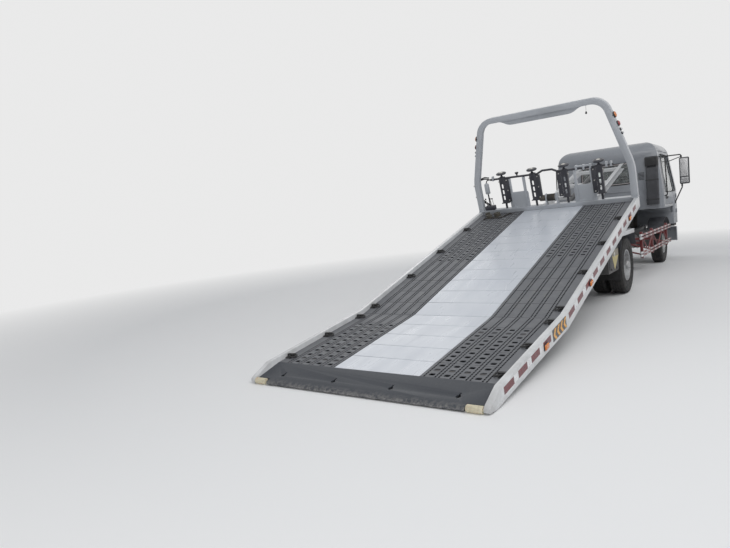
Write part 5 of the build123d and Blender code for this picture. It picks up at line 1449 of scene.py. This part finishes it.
def nose_trim():
    """Windscreen rubber, the nose flap's seam and hinges, washer jets, indicators and the bumper's slots."""
    rim = [on_nose(y, z, 0.001) for y, z in loop_flat(SCREEN, 0.05)]
    flap = [on_nose(y, z, -0.0012) for y, z in loop_flat(NOSE_FLAP, 0.04)]
    # The flap's seam is a thin tube of near-black painted shade in the panel gap.
    pieces = [tube("screen_seal", rim, 0.010, "seal", 8, closed=True),
              tube("flap_seam", flap, 0.0035, "painted_shade", 6, closed=True)]
    for side in (-1, 1):
        hinge = on_nose(side * 0.46, 1.255)
        ends = [hinge + Vector((0.002, y, 0)) for y in (-0.035, 0.035)]
        pieces.append(tube("hinge", ends, 0.009, "plastic", 12))
        washer = turned(on_nose(side * 0.30, 1.292, 0.004), SCREEN_FOOT_LEAN, "Y")
        pieces.append(lathe("jet", [(0.011, -0.004), (0.011, 0.004), (0.005, 0.008), (0, 0.008)], "plastic",
                            washer, 16))
    joined("nose_seals", pieces, "cab", "black_plastic")
    blinkers = bmesh.new()
    surrounds = bmesh.new()
    for side in (-1, 1):
        x = on_nose(side * 0.88, 0.845).x
        add_box(blinkers, near(x, -0.006, 0.009), span(side, 0.842, 0.908), (0.772, 0.918))
        add_box(surrounds, near(x, -0.006, 0.003), span(side, 0.836, 0.914), (0.766, 0.924))
    fit("indicators", blinkers, "amber", "cab", "lamp_lens", 0.006, 3)
    fit("indicator_frames", surrounds, "plastic", "cab", "black_plastic", 0.002)
    x = near(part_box("front_bumper")[1].x, -0.004, 0.0004)
    slots = boxes([(x, (-0.46, 0.46), near(z, 0, 0.022)) for z in (0.350, 0.548)]
                  + [(x, span(side, 0.34, 0.42), (0.42, 0.50)) for side in (-1, 1)])
    # The bumper's slots are flat boxes of near-black painted shade, not openings.
    fit("bumper_slots", slots, "painted_shade", "chassis", "black_plastic", 0)


def wipers():
    """Two wiper arms with blades, laid along the foot of the windscreen."""
    pivot = [(0.016, -0.01), (0.016, 0.008), (0.010, 0.016), (0.0, 0.017)]
    pieces = []
    for y in (-0.42, 0.30):
        arm = [at(4.705, y, 1.315), at(4.690, y + 0.02, 1.352), at(4.655, y + 0.36, 1.425)]
        blade = [at(4.668, y + 0.10, 1.385), at(4.640, y + 0.62, 1.470)]
        pieces.append(tube("arm", arm, 0.006, "plastic", 8, 0.02))
        pieces.append(tube("blade", blade, 0.007, "seal", 8))
        pieces.append(lathe("pivot", pivot, "plastic", turned(arm[0], SCREEN_FOOT_LEAN, "Y"), 20))
    joined("wipers", pieces, "cab", "black_plastic")


def cushion(name, x, y, z, lean=0.0, pivot=None):
    """Crowned cushion between corner values, with pulled-in sides and sewn channels."""
    bm = bmesh.new()
    bmesh.ops.create_cube(bm, size=1)
    bmesh.ops.subdivide_edges(bm, edges=bm.edges, cuts=11, use_grid_fill=True)
    size = Vector((x[1] - x[0], y[1] - y[0], z[1] - z[0]))
    middle = Vector((sum(x) / 2, sum(y) / 2, sum(z) / 2))
    thin = min(range(3), key=lambda axis: size[axis])
    wide = [axis for axis in range(3) if axis != thin]
    for vert in bm.verts:
        p = vert.co * 2
        edge = max(abs(p[wide[0]]), abs(p[wide[1]]))
        swell = 1 - (0.30 * edge ** 6)
        dome = 1 - 0.18 * (p[wide[0]] ** 2 + p[wide[1]] ** 2) / 2
        channel = sum(math.exp(-((p[1] - place) / 0.045) ** 2) for place in (-0.34, 0.34))
        p[thin] *= swell * dome * (1 - 0.16 * channel * (1 - edge ** 4))
        vert.co = Vector([p[axis] * size[axis] / 2 for axis in range(3)])
    centre = Matrix.Translation(pivot if pivot else middle)
    back = centre @ Matrix.Rotation(lean, 4, "Y") @ centre.inverted()
    piece = made(name, bm, "seat")
    piece.matrix_world = back @ Matrix.Translation(middle)
    level = piece.modifiers.new("soft", "SUBSURF")
    level.levels = 1
    level.render_levels = 1
    return smooth(settle(piece), 70)


def seats():
    """Driver's and passengers' seats: padded cushions on plinths."""
    for name, ends in (("driver", (0.18, 0.68)), ("passenger", (-0.72, 0.08))):
        y = (ends[0] + 0.005, ends[1] - 0.005)
        base = cushion("seat_base_" + name, near(REAR_AXLE_X, 3.405, 3.895), y, near(CAB_FLOOR, 0.105, 0.228))
        seat_on(base, "cab", "seat_fabric", *(["seats"] if name == "driver" else []))
        back = cushion("seat_back_" + name, near(REAR_AXLE_X, 3.262, 3.372), y, near(CAB_FLOOR, 0.225, 0.87),
                       -math.atan2(0.05, 0.68), at(3.32, 0, CAB_FLOOR + 0.2))
        seat_on(back, "cab", "seat_fabric")
        plinth = boxes([(near(REAR_AXLE_X, 3.44, 3.86), (ends[0] + 0.03, ends[1] - 0.03),
                         near(CAB_FLOOR, 0.001, 0.105))])
        fit("seat_plinth_" + name, plinth, "plastic", "cab", "black_plastic", 0.006)


def add_plate(bm, corners, side):
    """Thin plate on a locker's outer face, from corners of (distance ahead of the rear axle, height)."""
    place = turned((0, side * 0.9655, 0), side * QUARTER, "Z")
    low, high = ([bm.verts.new(place @ Vector((depth, -side * (REAR_AXLE_X + x), z))) for x, z in corners]
                 for depth in (-0.001, 0.001))
    bm.faces.new(low)
    bm.faces.new(reversed(high))
    bridge(bm, [high, low])
    bmesh.ops.recalc_face_normals(bm, faces=bm.faces)


def wheel_dressing():
    """The rear guards' white edge bars, mud flaps, the lockers' plates and the front liners' rolled lips."""
    bars, flaps, edges, panels = (bmesh.new() for _ in range(4))
    x = about(REAR_AXLE_X, 0.372)
    tilt = turned((REAR_AXLE_X - 0.468, 0, 0.645), math.radians(4), "Y")
    for side in (-1, 1):
        add_box(bars, x, span(side, 0.905, 0.994), (0.859, 0.868))
        add_box(bars, x, span(side, 0.986, 0.995), (0.812, 0.868))
        add_box(flaps, (-0.006, 0.0), span(side, 0.545, 0.975), (-0.400, 0.030), tilt)
        add_plate(panels, LOCKER_PLATE, side)
        add_plate(edges, LOCKER_WEDGE, side)
    fit("guard_edges", bars, "white", "chassis", "white_paint", 0.0025)
    fit("mud_flaps", flaps, "seal", "chassis", "black_plastic", 0.001, 1)
    fit("flap_edges", edges, "cream", "chassis", "lamp_lens", 0.0008, 1)
    # The lockers' plates are beige-grey, partly their own tone and partly darkened as painted shade.
    fit("flap_panels", panels, "flap", "chassis", "black_plastic", 0.0008, 1)
    pieces = []
    for side in (-1, 1):
        for y in (0.632, 0.894):
            arc = [ahead(0.478 * math.cos(turn), side * y, TYRE_RADIUS + 0.478 * math.sin(turn))
                   for turn in (math.radians(22 + 136 * step / 24) for step in range(25))]
            pieces.append(tube("lip", arc, 0.0065, "plastic", 8))
    joined("liner_lips", pieces, "chassis", "black_plastic")


def steps():
    """Boarding steps below the doors with punched treads, and a grab handle beside each door."""
    plates = []
    cleats = []
    start, end = near(FRONT_AXLE_X, 0.52, 0.80)
    for side in (-1, 1):
        y = span(side, 0.80, 0.955)
        plates += [((start, end), y, (0.652, 0.670)), ((start, start + 0.012), y, (0.654, 0.702)),
                   ((end - 0.012, end), y, (0.654, 0.702))]
        cleats += [(near(start + 0.020 + index * 0.029, 0, 0.010), span(side, 0.815, 0.945), (0.6695, 0.6745))
                   for index in range(9)]
    fit("step_plates", boxes(plates), "chassis", "cab", "black_plastic", 0.002)
    fit("step_cleats", boxes(cleats), "zinc", "cab", "black_plastic", 0.0015, 1)
    bars = [tube("grab", [ahead(-0.43, side * y, z) for y, z in GRAB_BAR], 0.011, "plastic", 14, 0.04)
            for side in (-1, 1)]
    joined("grab_handles", bars, "cab", "black_plastic")


def mirrors():
    """Tall mirror housings on their arms, with main and wide-angle faces and clamps."""
    x = FRONT_AXLE_X + MIRROR_X
    rear = x - 0.030
    foot = [(0, -0.006), (0.026, -0.006), (0.026, 0.006), (0.018, 0.014), (0, 0.015)]
    clamp = [(0.010, -0.016), (0.017, -0.016), (0.017, 0.016), (0.010, 0.016)]
    for side, word in SIDES:
        y = side * MIRROR_Y
        upper, lower = ahead(0.560, side * 0.884, 2.035), ahead(0.750, side * 0.962, 1.110)
        shell = boxes([((rear, x + 0.038), span(side, 1.052, 1.228), MIRROR_Z)])
        pieces = [tube("arm", [upper, (x, y, 2.045), (x, y, 1.400), lower], 0.012, "plastic", 16, 0.035),
                  tube("stay", [ahead(0.640, side * 0.889, 1.930), (x, y, 2.005)], 0.008, "plastic", 12)]
        pieces += [lathe("foot", foot, "plastic", facing(place, side), 24) for place in (upper, lower)]
        pieces += [lathe("clamp", clamp, "plastic", Matrix.Translation((x, y, z)), 20) for z in (1.440, 2.010)]
        joined("mirror_body_" + word, [rounded("shell", shell, "duct", 0.024, 4)] + pieces, "door_" + word,
               "black_plastic", "mirror_" + word)
        faces = boxes([(near(rear, -0.0022, 0.002), span(side, 1.072, 1.208), z)
                       for z in ((1.610, 1.962), (1.486, 1.592))])
        fit("mirror_faces_" + word, faces, "chrome", "door_" + word, "chrome_rod", 0.001, 1)


def door_seams():
    """Rubber seal round each door's window."""
    for side, word in SIDES:
        loop = [ahead(x, side * (cab_side(z) + 0.001), z) for x, z in SIDE_WINDOW]
        seal = tube("seal", loop_of(loop, 0.035), 0.0085, "seal", 8, closed=True)
        joined("window_seal_" + word, [seal], "door_" + word, "black_plastic")


def roof_gear():
    """Gutter beads, roof ribs, rear wall pressings and vents of the cab."""
    pieces = [tube("gutter", [ahead(x, side * y, z) for x, y, z in GUTTER], 0.008, "cab", 8, 0.10)
              for side in (-1, 1)]
    ribs = boxes([(near(FRONT_AXLE_X, -0.36, 0.32), about(y, 0.022), (2.276, 2.2855))
                  for y in (-0.44, -0.22, 0.0, 0.22, 0.44)])
    joined("roof_gear", pieces + [rounded("ribs", ribs, "cab", 0.004, 3)], "cab", "cab_paint")
    rear = FRONT_AXLE_X - 0.600
    pressings = boxes([(near(rear, -0.0045, 0.002), (-0.560, 0.780), near(z, 0, 0.028))
                       for z in (1.155, 1.235, 1.315, 1.395)])
    fit("rear_wall_ribs", pressings, "cab", "cab", "cab_paint", 0.004, 3)
    vents = boxes([(near(rear, -0.006, 0.002), span(side, 0.56, 0.66), near(1.60 + index * 0.024, 0, 0.010))
                   for side in (-1, 1) for index in range(6)])
    fit("rear_vents", vents, "seal", "cab", "black_plastic", 0.002)


def cab_inside():
    """Gauges in their hood, gear lever and belts."""
    board = FRONT_AXLE_X + 0.62
    hood = boxes([(near(board, -0.02, 0.16), (0.24, 0.62), (1.322, 1.372))])
    pieces = [rounded("hood", hood, "plastic", 0.012, 3)]
    gauge = [(0.022, 0.0), (0.022, 0.004), (0.018, 0.004), (0.016, 0.002), (0, 0.002)]
    for y in (0.34, 0.44, 0.52):
        pieces.append(lathe("gauge", gauge, "zinc", turned((board - 0.021, y, 1.345), -QUARTER, "Y"), 28))
    lever = [ahead(0.42, 0.12, 1.10), ahead(0.36, 0.12, 1.30), ahead(0.33, 0.12, 1.37)]
    pieces.append(tube("lever", lever, 0.008, "plastic", 10, 0.05))
    pieces.append(lathe("ball", ball(0.022, 0.022), "plastic", Matrix.Translation(lever[-1]), 20, 60))
    joined("cab_controls", pieces, "cab", "black_plastic")
    routes = [bent([ahead(-0.34, side * y, z) for y, z in BELT], 0.05, 8) for side in (1, -1)]
    belts = [ribbon("belt", route, Vector((1, 0, 0)), 0.045, 0.0025, "seal") for route in routes]
    joined("seat_belts", belts, "cab", "black_plastic")


# Arch and what stands on the sill

RAIL_TOP = 0.045
ARCH_TOP = RAIL_TOP + 1.40
ARCH_LEG_TOP = 0.45
ARCH_LEAN = (BED_HALF - 0.90) / (1.40 - ARCH_LEG_TOP)
ARCH_TUBE = 0.08
ARCH_LAMPS = ((1.133, 0.042, "amber"), (1.012, 0.038, "red_lens"), (0.932, 0.020, "clear"),
              (0.880, 0.018, "clear"))
MARKER_U = (-0.582, 0.847, 2.837)
TOP_TUBE_W = 0.53
POST_Y = (-0.70, -0.23, 0.23, 0.70)
POST_HEAD_W = TOP_TUBE_W + 0.022 + 0.038
POST_BAND = ((0.0745, 0.009), (0.0752, 0.012), (0.0752, 0.018), (0.0745, 0.021))
POST_BOSS = ((0.030, 0.029), (0.028, 0.034), (0.014, 0.036), (0.012, 0.040), (0, 0.041))
POST_STUD = ((0.009, 0), (0.009, 0.005), (0.006, 0.008), (0, 0.008))
RACK_MIDDLE = 0.480
RACK_HALF = 0.150
HOSE = ((0.020, 0.90, 0.085), (0.062, 0.93, 0.075), (0.070, 1.05, 0.16), (0.066, 1.150, 0.27),
        (0.062, 1.165, 0.42), (0.058, 1.120, 0.52))
STRAP_ROLLS = ((3.33, 0.80, 0.052, 0.050), (3.25, 0.90, 0.045, 0.050), (3.37, 0.97, 0.040, 0.048))
CHAIN_LINKS = 34


def arch_side(height):
    """Outer y of the arch leg at a height above the rail."""
    return BED_HALF - max(0.0, height - ARCH_LEG_TOP) * ARCH_LEAN


def arch_lamps():
    """Round lamps on both arch legs: plastic base and domed lens."""
    lenses = {}
    bases = []
    for side in (-1, 1):
        lean = Matrix.Rotation(-side * (QUARTER - math.atan(ARCH_LEAN)), 4, "X")
        for height, radius, colour in ARCH_LAMPS:
            place = sill_place(side * (arch_side(height) - 0.0015), RAIL_TOP + height) @ lean
            base = [(radius, -0.012), (radius, 0.010), (radius - 0.003, 0.0135), (radius - 0.008, 0.0135)]
            bases.append(lathe("base", base, "plastic", place, 40))
            dome = [(radius - 0.004, 0.010), (radius - 0.005, 0.016)]
            for step in range(1, 9):
                turn = QUARTER * step / 8
                dome.append(((radius - 0.005) * math.cos(turn), 0.016 + 0.013 * math.sin(turn)))
            lenses.setdefault(colour, []).append(lathe("lens", dome, colour, place, 40, 60))
    for colour, pieces in lenses.items():
        nodes = ["bed_lamps"] if colour == ARCH_LAMPS[0][2] else []
        joined("arch_lamps_" + colour, pieces, "bed", "lamp_lens", *nodes)
    joined("arch_lamp_bases", bases, "bed", "black_plastic")


def marker_lamps():
    """Oval amber markers on the rails, in black holders."""
    lenses = bmesh.new()
    holders = bmesh.new()
    for side in (-1, 1):
        base = span(side, BED_HALF - 0.001, BED_HALF + 0.009)
        cover = span(side, BED_HALF + 0.004, BED_HALF + 0.0225)
        for u in MARKER_U:
            add_box(holders, about(u, 0.046), base, (-0.056, -0.004), plane_at(u))
            add_box(lenses, about(u, 0.042), cover, (-0.052, -0.008), plane_at(u))
    fit("marker_lenses", lenses, "amber", "bed", "lamp_lens", 0.010, 4)
    fit("marker_holders", holders, "plastic", "bed", "black_plastic", 0.003)


def arch_trim():
    """Feet of the legs, rivets round the bare panel and a small weight on a rod under its right end."""
    feet = bmesh.new()
    for side in (-1, 1):
        y = side * (BED_HALF - ARCH_TUBE / 2)
        add_box(feet, near(SILL_U, -0.062, 0.04), near(y, -0.045, 0.0395), near(RAIL_TOP, -0.002, 0.010),
                MAIN_PLANE)
        for shift in (-0.030, 0.030):
            add_rod(feet, *[sill_point(-0.052, y + shift, RAIL_TOP + w) for w in (0.008, 0.020)], 0.009, 6)
    fit("arch_feet", feet, "silver", "bed", "silver_paint", 0.002)
    head = lathe("rivet", [(0.0065, 0), (0.0055, 0.0022), (0.003, 0.0034), (0, 0.0038)], "zinc",
                 Matrix.Identity(4), 12, 30)
    spots = [(sill_point(x, -0.42 + 0.06 * index, w), MAIN_PLANE.to_3x3() @ Vector((way, 0, 0)))
             for index in range(15) for w in (ARCH_TOP - 0.150 + 0.016, ARCH_TOP - ARCH_TUBE - 0.010)
             for x, way in ((-0.012, -1), (0.012, 1))]
    seat_on(scattered("panel_rivets", head, "silver", spots), "bed", "silver_paint")
    drop(head)
    top = sill_point(0, -0.635, ARCH_TOP - ARCH_TUBE + 0.004)
    weight = [(0, 0), (0.009, 0.002), (0.013, 0.010), (0.011, 0.026), (0.004, 0.036), (0, 0.037)]
    place = Matrix.Translation(top + Vector((0, 0, -0.120)))
    joined("pendant", [tube("hanger", [top, top + Vector((0, 0, -0.085))], 0.0026, "zinc", 8),
                       lathe("weight", weight, "seal", place, 16, 50)], "bed", "black_plastic")


def post_gear():
    """Ribbed heads, pins with rings, side plates and studs of the stowed posts."""
    pieces = []
    for y in POST_Y:
        place = sill_place(y, POST_HEAD_W)
        pieces.append(lathe("band", POST_BAND, "posts", place, 48, 60))
        pieces.append(lathe("boss", POST_BOSS, "zinc", place, 28))
        for ring in (0.042, 0.056):
            ridge = [(ring + 0.003, 0.029), (ring + 0.0015, 0.0315), (ring - 0.0015, 0.0315),
                     (ring - 0.003, 0.029)]
            pieces.append(lathe("ridge", ridge, "posts", place, 40, 60))
        ends = [sill_point(-0.012, y + end, 0.485) for end in (-0.056, 0.060)]
        pieces.append(tube("pin", ends, 0.008, "zinc", 12))
        ring = [sill_point(-0.012 + 0.016 * math.sin(t), y - 0.055, 0.471 + 0.016 * math.cos(t))
                for t in circle(16)]
        pieces.append(tube("pin_ring", ring, 0.0018, "zinc", 8, closed=True))
        way = -1 if y > 0 else 1
        plates = [(near(SILL_U, back, front), sorted(near(y, way * inner, way * 0.105)), (0.165, 0.525))
                  for back, front, inner in ((-0.031, -0.0265, 0.043), (-0.030, 0.012, 0.101))]
        pieces.append(rounded("side_plate", boxes(plates, MAIN_PLANE), "posts", 0.002, 2))
        for w in (0.19, 0.345, 0.50):
            place = MAIN_PLANE @ turned((SILL_U - 0.031, y + way * 0.074, w), -QUARTER, "Y")
            pieces.append(lathe("stud", POST_STUD, "zinc", place, 12))
    joined("post_gear", pieces, "bed", "chassis_black")


def tube_gear():
    """Funnel knob on the tube, light clamp tube by the right-hand posts, clamps and end caps."""
    knob = [(0.010, 0), (0.010, 0.018), (0.024, 0.040), (0.028, 0.052), (0.024, 0.056), (0, 0.056)]
    light = [sill_point(-0.006, y, TOP_TUBE_W + 0.032) for y in (-0.38, -0.605)]
    clamps = boxes([(near(SILL_U, -0.022, 0.018), about(y, 0.014), near(TOP_TUBE_W, -0.022, 0.050))
                    for y in (-0.40, -0.50, -0.59, -0.80, -0.86, 0.84)], MAIN_PLANE)
    pieces = [lathe("knob", knob, "plastic", sill_place(0.46, TOP_TUBE_W + 0.010), 28, 40),
              tube("light_tube", light, 0.014, "silver", 16), rounded("clamps", clamps, "silver", 0.004, 2)]
    for way in (-1, 1):
        place = sill_place(way * 0.879, TOP_TUBE_W) @ Matrix.Rotation(-way * QUARTER, 4, "X")
        cap = [(0.0165, -0.02), (0.0165, 0.003), (0.012, 0.008), (0, 0.009)]
        pieces.append(lathe("end", cap, "plastic", place, 24))
    joined("tube_gear", pieces, "bed", "black_plastic")


def control_station():
    """Lever block, canister and the two hoses clipped to the left arch leg."""
    can = [(0.0, 0.0), (0.030, 0.002), (0.036, 0.010), (0.036, 0.150), (0.030, 0.162), (0.012, 0.166),
           (0.012, 0.176), (0, 0.176)]
    bracket = [sill_point(0, y, w) for y, w in ((0.885, TOP_TUBE_W), (0.945, TOP_TUBE_W), (0.965, 0.480))]
    block = boxes([(near(SILL_U, -0.035, 0.030), (0.885, 1.035), (0.058, 0.125)),
                   (near(SILL_U, -0.042, -0.034), (0.880, 1.040), (0.062, 0.118))], MAIN_PLANE)
    pieces = [lathe("can", can, "silver", sill_place(0.965, 0.315), 32, 40),
              tube("rod", [sill_point(0, 0.965, w) for w in (0.055, 0.32)], 0.011, "posts", 12),
              tube("bracket", bracket, 0.008, "posts", 12, 0.025), rounded("block", block, "posts", 0.004, 2)]
    for y, lean in ((0.905, -0.012), (0.941, -0.006), (1.013, -0.006)):
        tip = sill_point(lean, y + 0.010, 0.236)
        pieces.append(tube("lever", [sill_point(0, y, 0.120), tip], 0.0045, "zinc", 8))
        pieces.append(lathe("ball", ball(0.0125, 0.012), "plastic", Matrix.Translation(tip), 16, 60))
    joined("controls", pieces, "bed", "chassis_black")
    hoses = []
    for shift in (0.0, 0.024):
        route = [sill_point(x, y + shift, w) for x, y, w in HOSE]
        route += [sill_point(0.050, 1.00, 0.545 + shift), sill_point(0.020, 0.915, 0.535 + shift)]
        hoses.append(tube("hose", route, 0.0095, "seal", 12, 0.12))
    clips = boxes([(near(SILL_U, 0.036, 0.080), (1.110, 1.200), near(w, 0, 0.022)) for w in (0.26, 0.44)],
                  MAIN_PLANE)
    joined("control_hoses", hoses + [rounded("clips", clips, "zinc", 0.002, 2)], "bed", "black_plastic")


def rack_panels():
    """Plain sheets that close the racks' lower plates."""
    reach = RACK_HALF - 0.04
    panels = boxes([(near(SILL_U, -0.006, -0.002), span(side, RACK_MIDDLE - reach, RACK_MIDDLE + reach),
                     (0.100, 0.262)) for side in (-1, 1)], MAIN_PLANE)
    fit("rack_panels", panels, "silver", "bed", "silver_paint", 0.001, 1)


def winch_rope():
    """Wire rope laid in two layers round the drum, and the winch's motor."""
    pieces = []
    axis = sill_place(0, 0.160)
    for layer, radius in enumerate((0.0405, 0.0475)):
        for index in range(9):
            y = -0.054 + 0.0135 * index + 0.006 * layer
            loop = [axis @ Vector((radius * math.cos(t), y, radius * math.sin(t))) for t in circle(28)]
            pieces.append(tube("turn", loop, 0.0058, "cast", 8, closed=True))
    motor = [(0.044, 0), (0.044, 0.075), (0.036, 0.086), (0.018, 0.088), (0.016, 0.100), (0, 0.100)]
    place = MAIN_PLANE @ turned((SILL_U, 0.090, 0.160), -QUARTER, "X")
    joined("winch_rope", pieces + [lathe("motor", motor, "cast", place, 32)], "bed", "chassis_black")


def corner_gear():
    """Rolled lashing straps and chain lying in the deck's front left corner."""
    turns = 5.5
    steps = int(turns * 20)
    for number, (u, y, radius, width) in enumerate(STRAP_ROLLS):
        points = []
        for step in range(steps + 1):
            turn = 2 * math.pi * turns * step / steps
            reach = 0.012 + (radius - 0.012) * step / steps
            points.append(MAIN_PLANE @ Vector((u + reach * math.cos(turn), y + reach * math.sin(turn),
                                               0.004 + width / 2)))
        roll = ribbon(f"strap_roll_{number + 1}", points, NORMAL, width, 0.0028, "strap")
        seat_on(roll, "bed", "black_plastic")
    links = []
    for index in range(CHAIN_LINKS):
        share = index / (CHAIN_LINKS - 1)
        middle = (3.36 - 0.20 * share + 0.045 * math.sin(9 * share),
                  0.55 + 0.38 * share + 0.04 * math.cos(7 * share), 0.011)
        heading = math.atan2(0.38 - 0.28 * math.sin(7 * share), -0.20 + 0.405 * math.cos(9 * share))
        roll = Matrix.Rotation(math.radians(40 if index % 2 else -40), 4, "X")
        place = MAIN_PLANE @ turned(middle, heading, "Z") @ roll
        loop = [place @ Vector((0.013 * math.cos(t) + (0.006 if math.cos(t) > 0 else -0.006),
                                0.0085 * math.sin(t), 0)) for t in circle(12)]
        links.append(tube("link", loop, 0.0030, "cast", 8, closed=True))
    joined("loose_chain", links, "bed", "chassis_black")


# The whole truck

# bed_frame takes the black chassis paint as painted shade: it stands in shade under the deck, and its own paint
# is not known.
BED_SKINS = (("arch", "silver_paint", "silver", 0.006), ("racks", "silver_paint", "silver", 0.002),
             ("stowed_posts", "chassis_black", "posts", 0.002), ("winch", "cast_metal", "silver", 0.003),
             ("bed_frame", "silver_paint", "chassis", 0.002), ("tilt_frame", "white_paint", "frame", 0.002))
PLAIN = {
    "slide_hooks": "posts", "slide_rod": "chrome", "slide_barrel": "chassis",
    "lift_barrels": "chassis", "lift_rods": "chrome", "cab_glass": "glass", "headlamps": "cover",
    "door_glass_left": "glass", "door_glass_right": "glass", "knuckle_left": "cast", "knuckle_right": "cast",
}

for build in (camera, studio, tracks, centre_strip, tail, rail_tapes, lashing_gear, wheels, side_guards,
              tank_and_boxes, lamp_clusters, springs_and_axles, chassis_bolts, cab_paintwork, cab_seals,
              door_trim, duct_details, nose_details, nose_trim, wipers, seats, wheel_dressing, steps, mirrors,
              door_seams, roof_gear, cab_inside, arch_lamps, marker_lamps, arch_trim, post_gear, tube_gear,
              control_station, rack_panels, winch_rope, corner_gear):
    build()
for node, slot, paint, width in BED_SKINS:
    skin(node, slot, paint, width)
for node, paint in PLAIN.items():
    paint_node(node, paint)
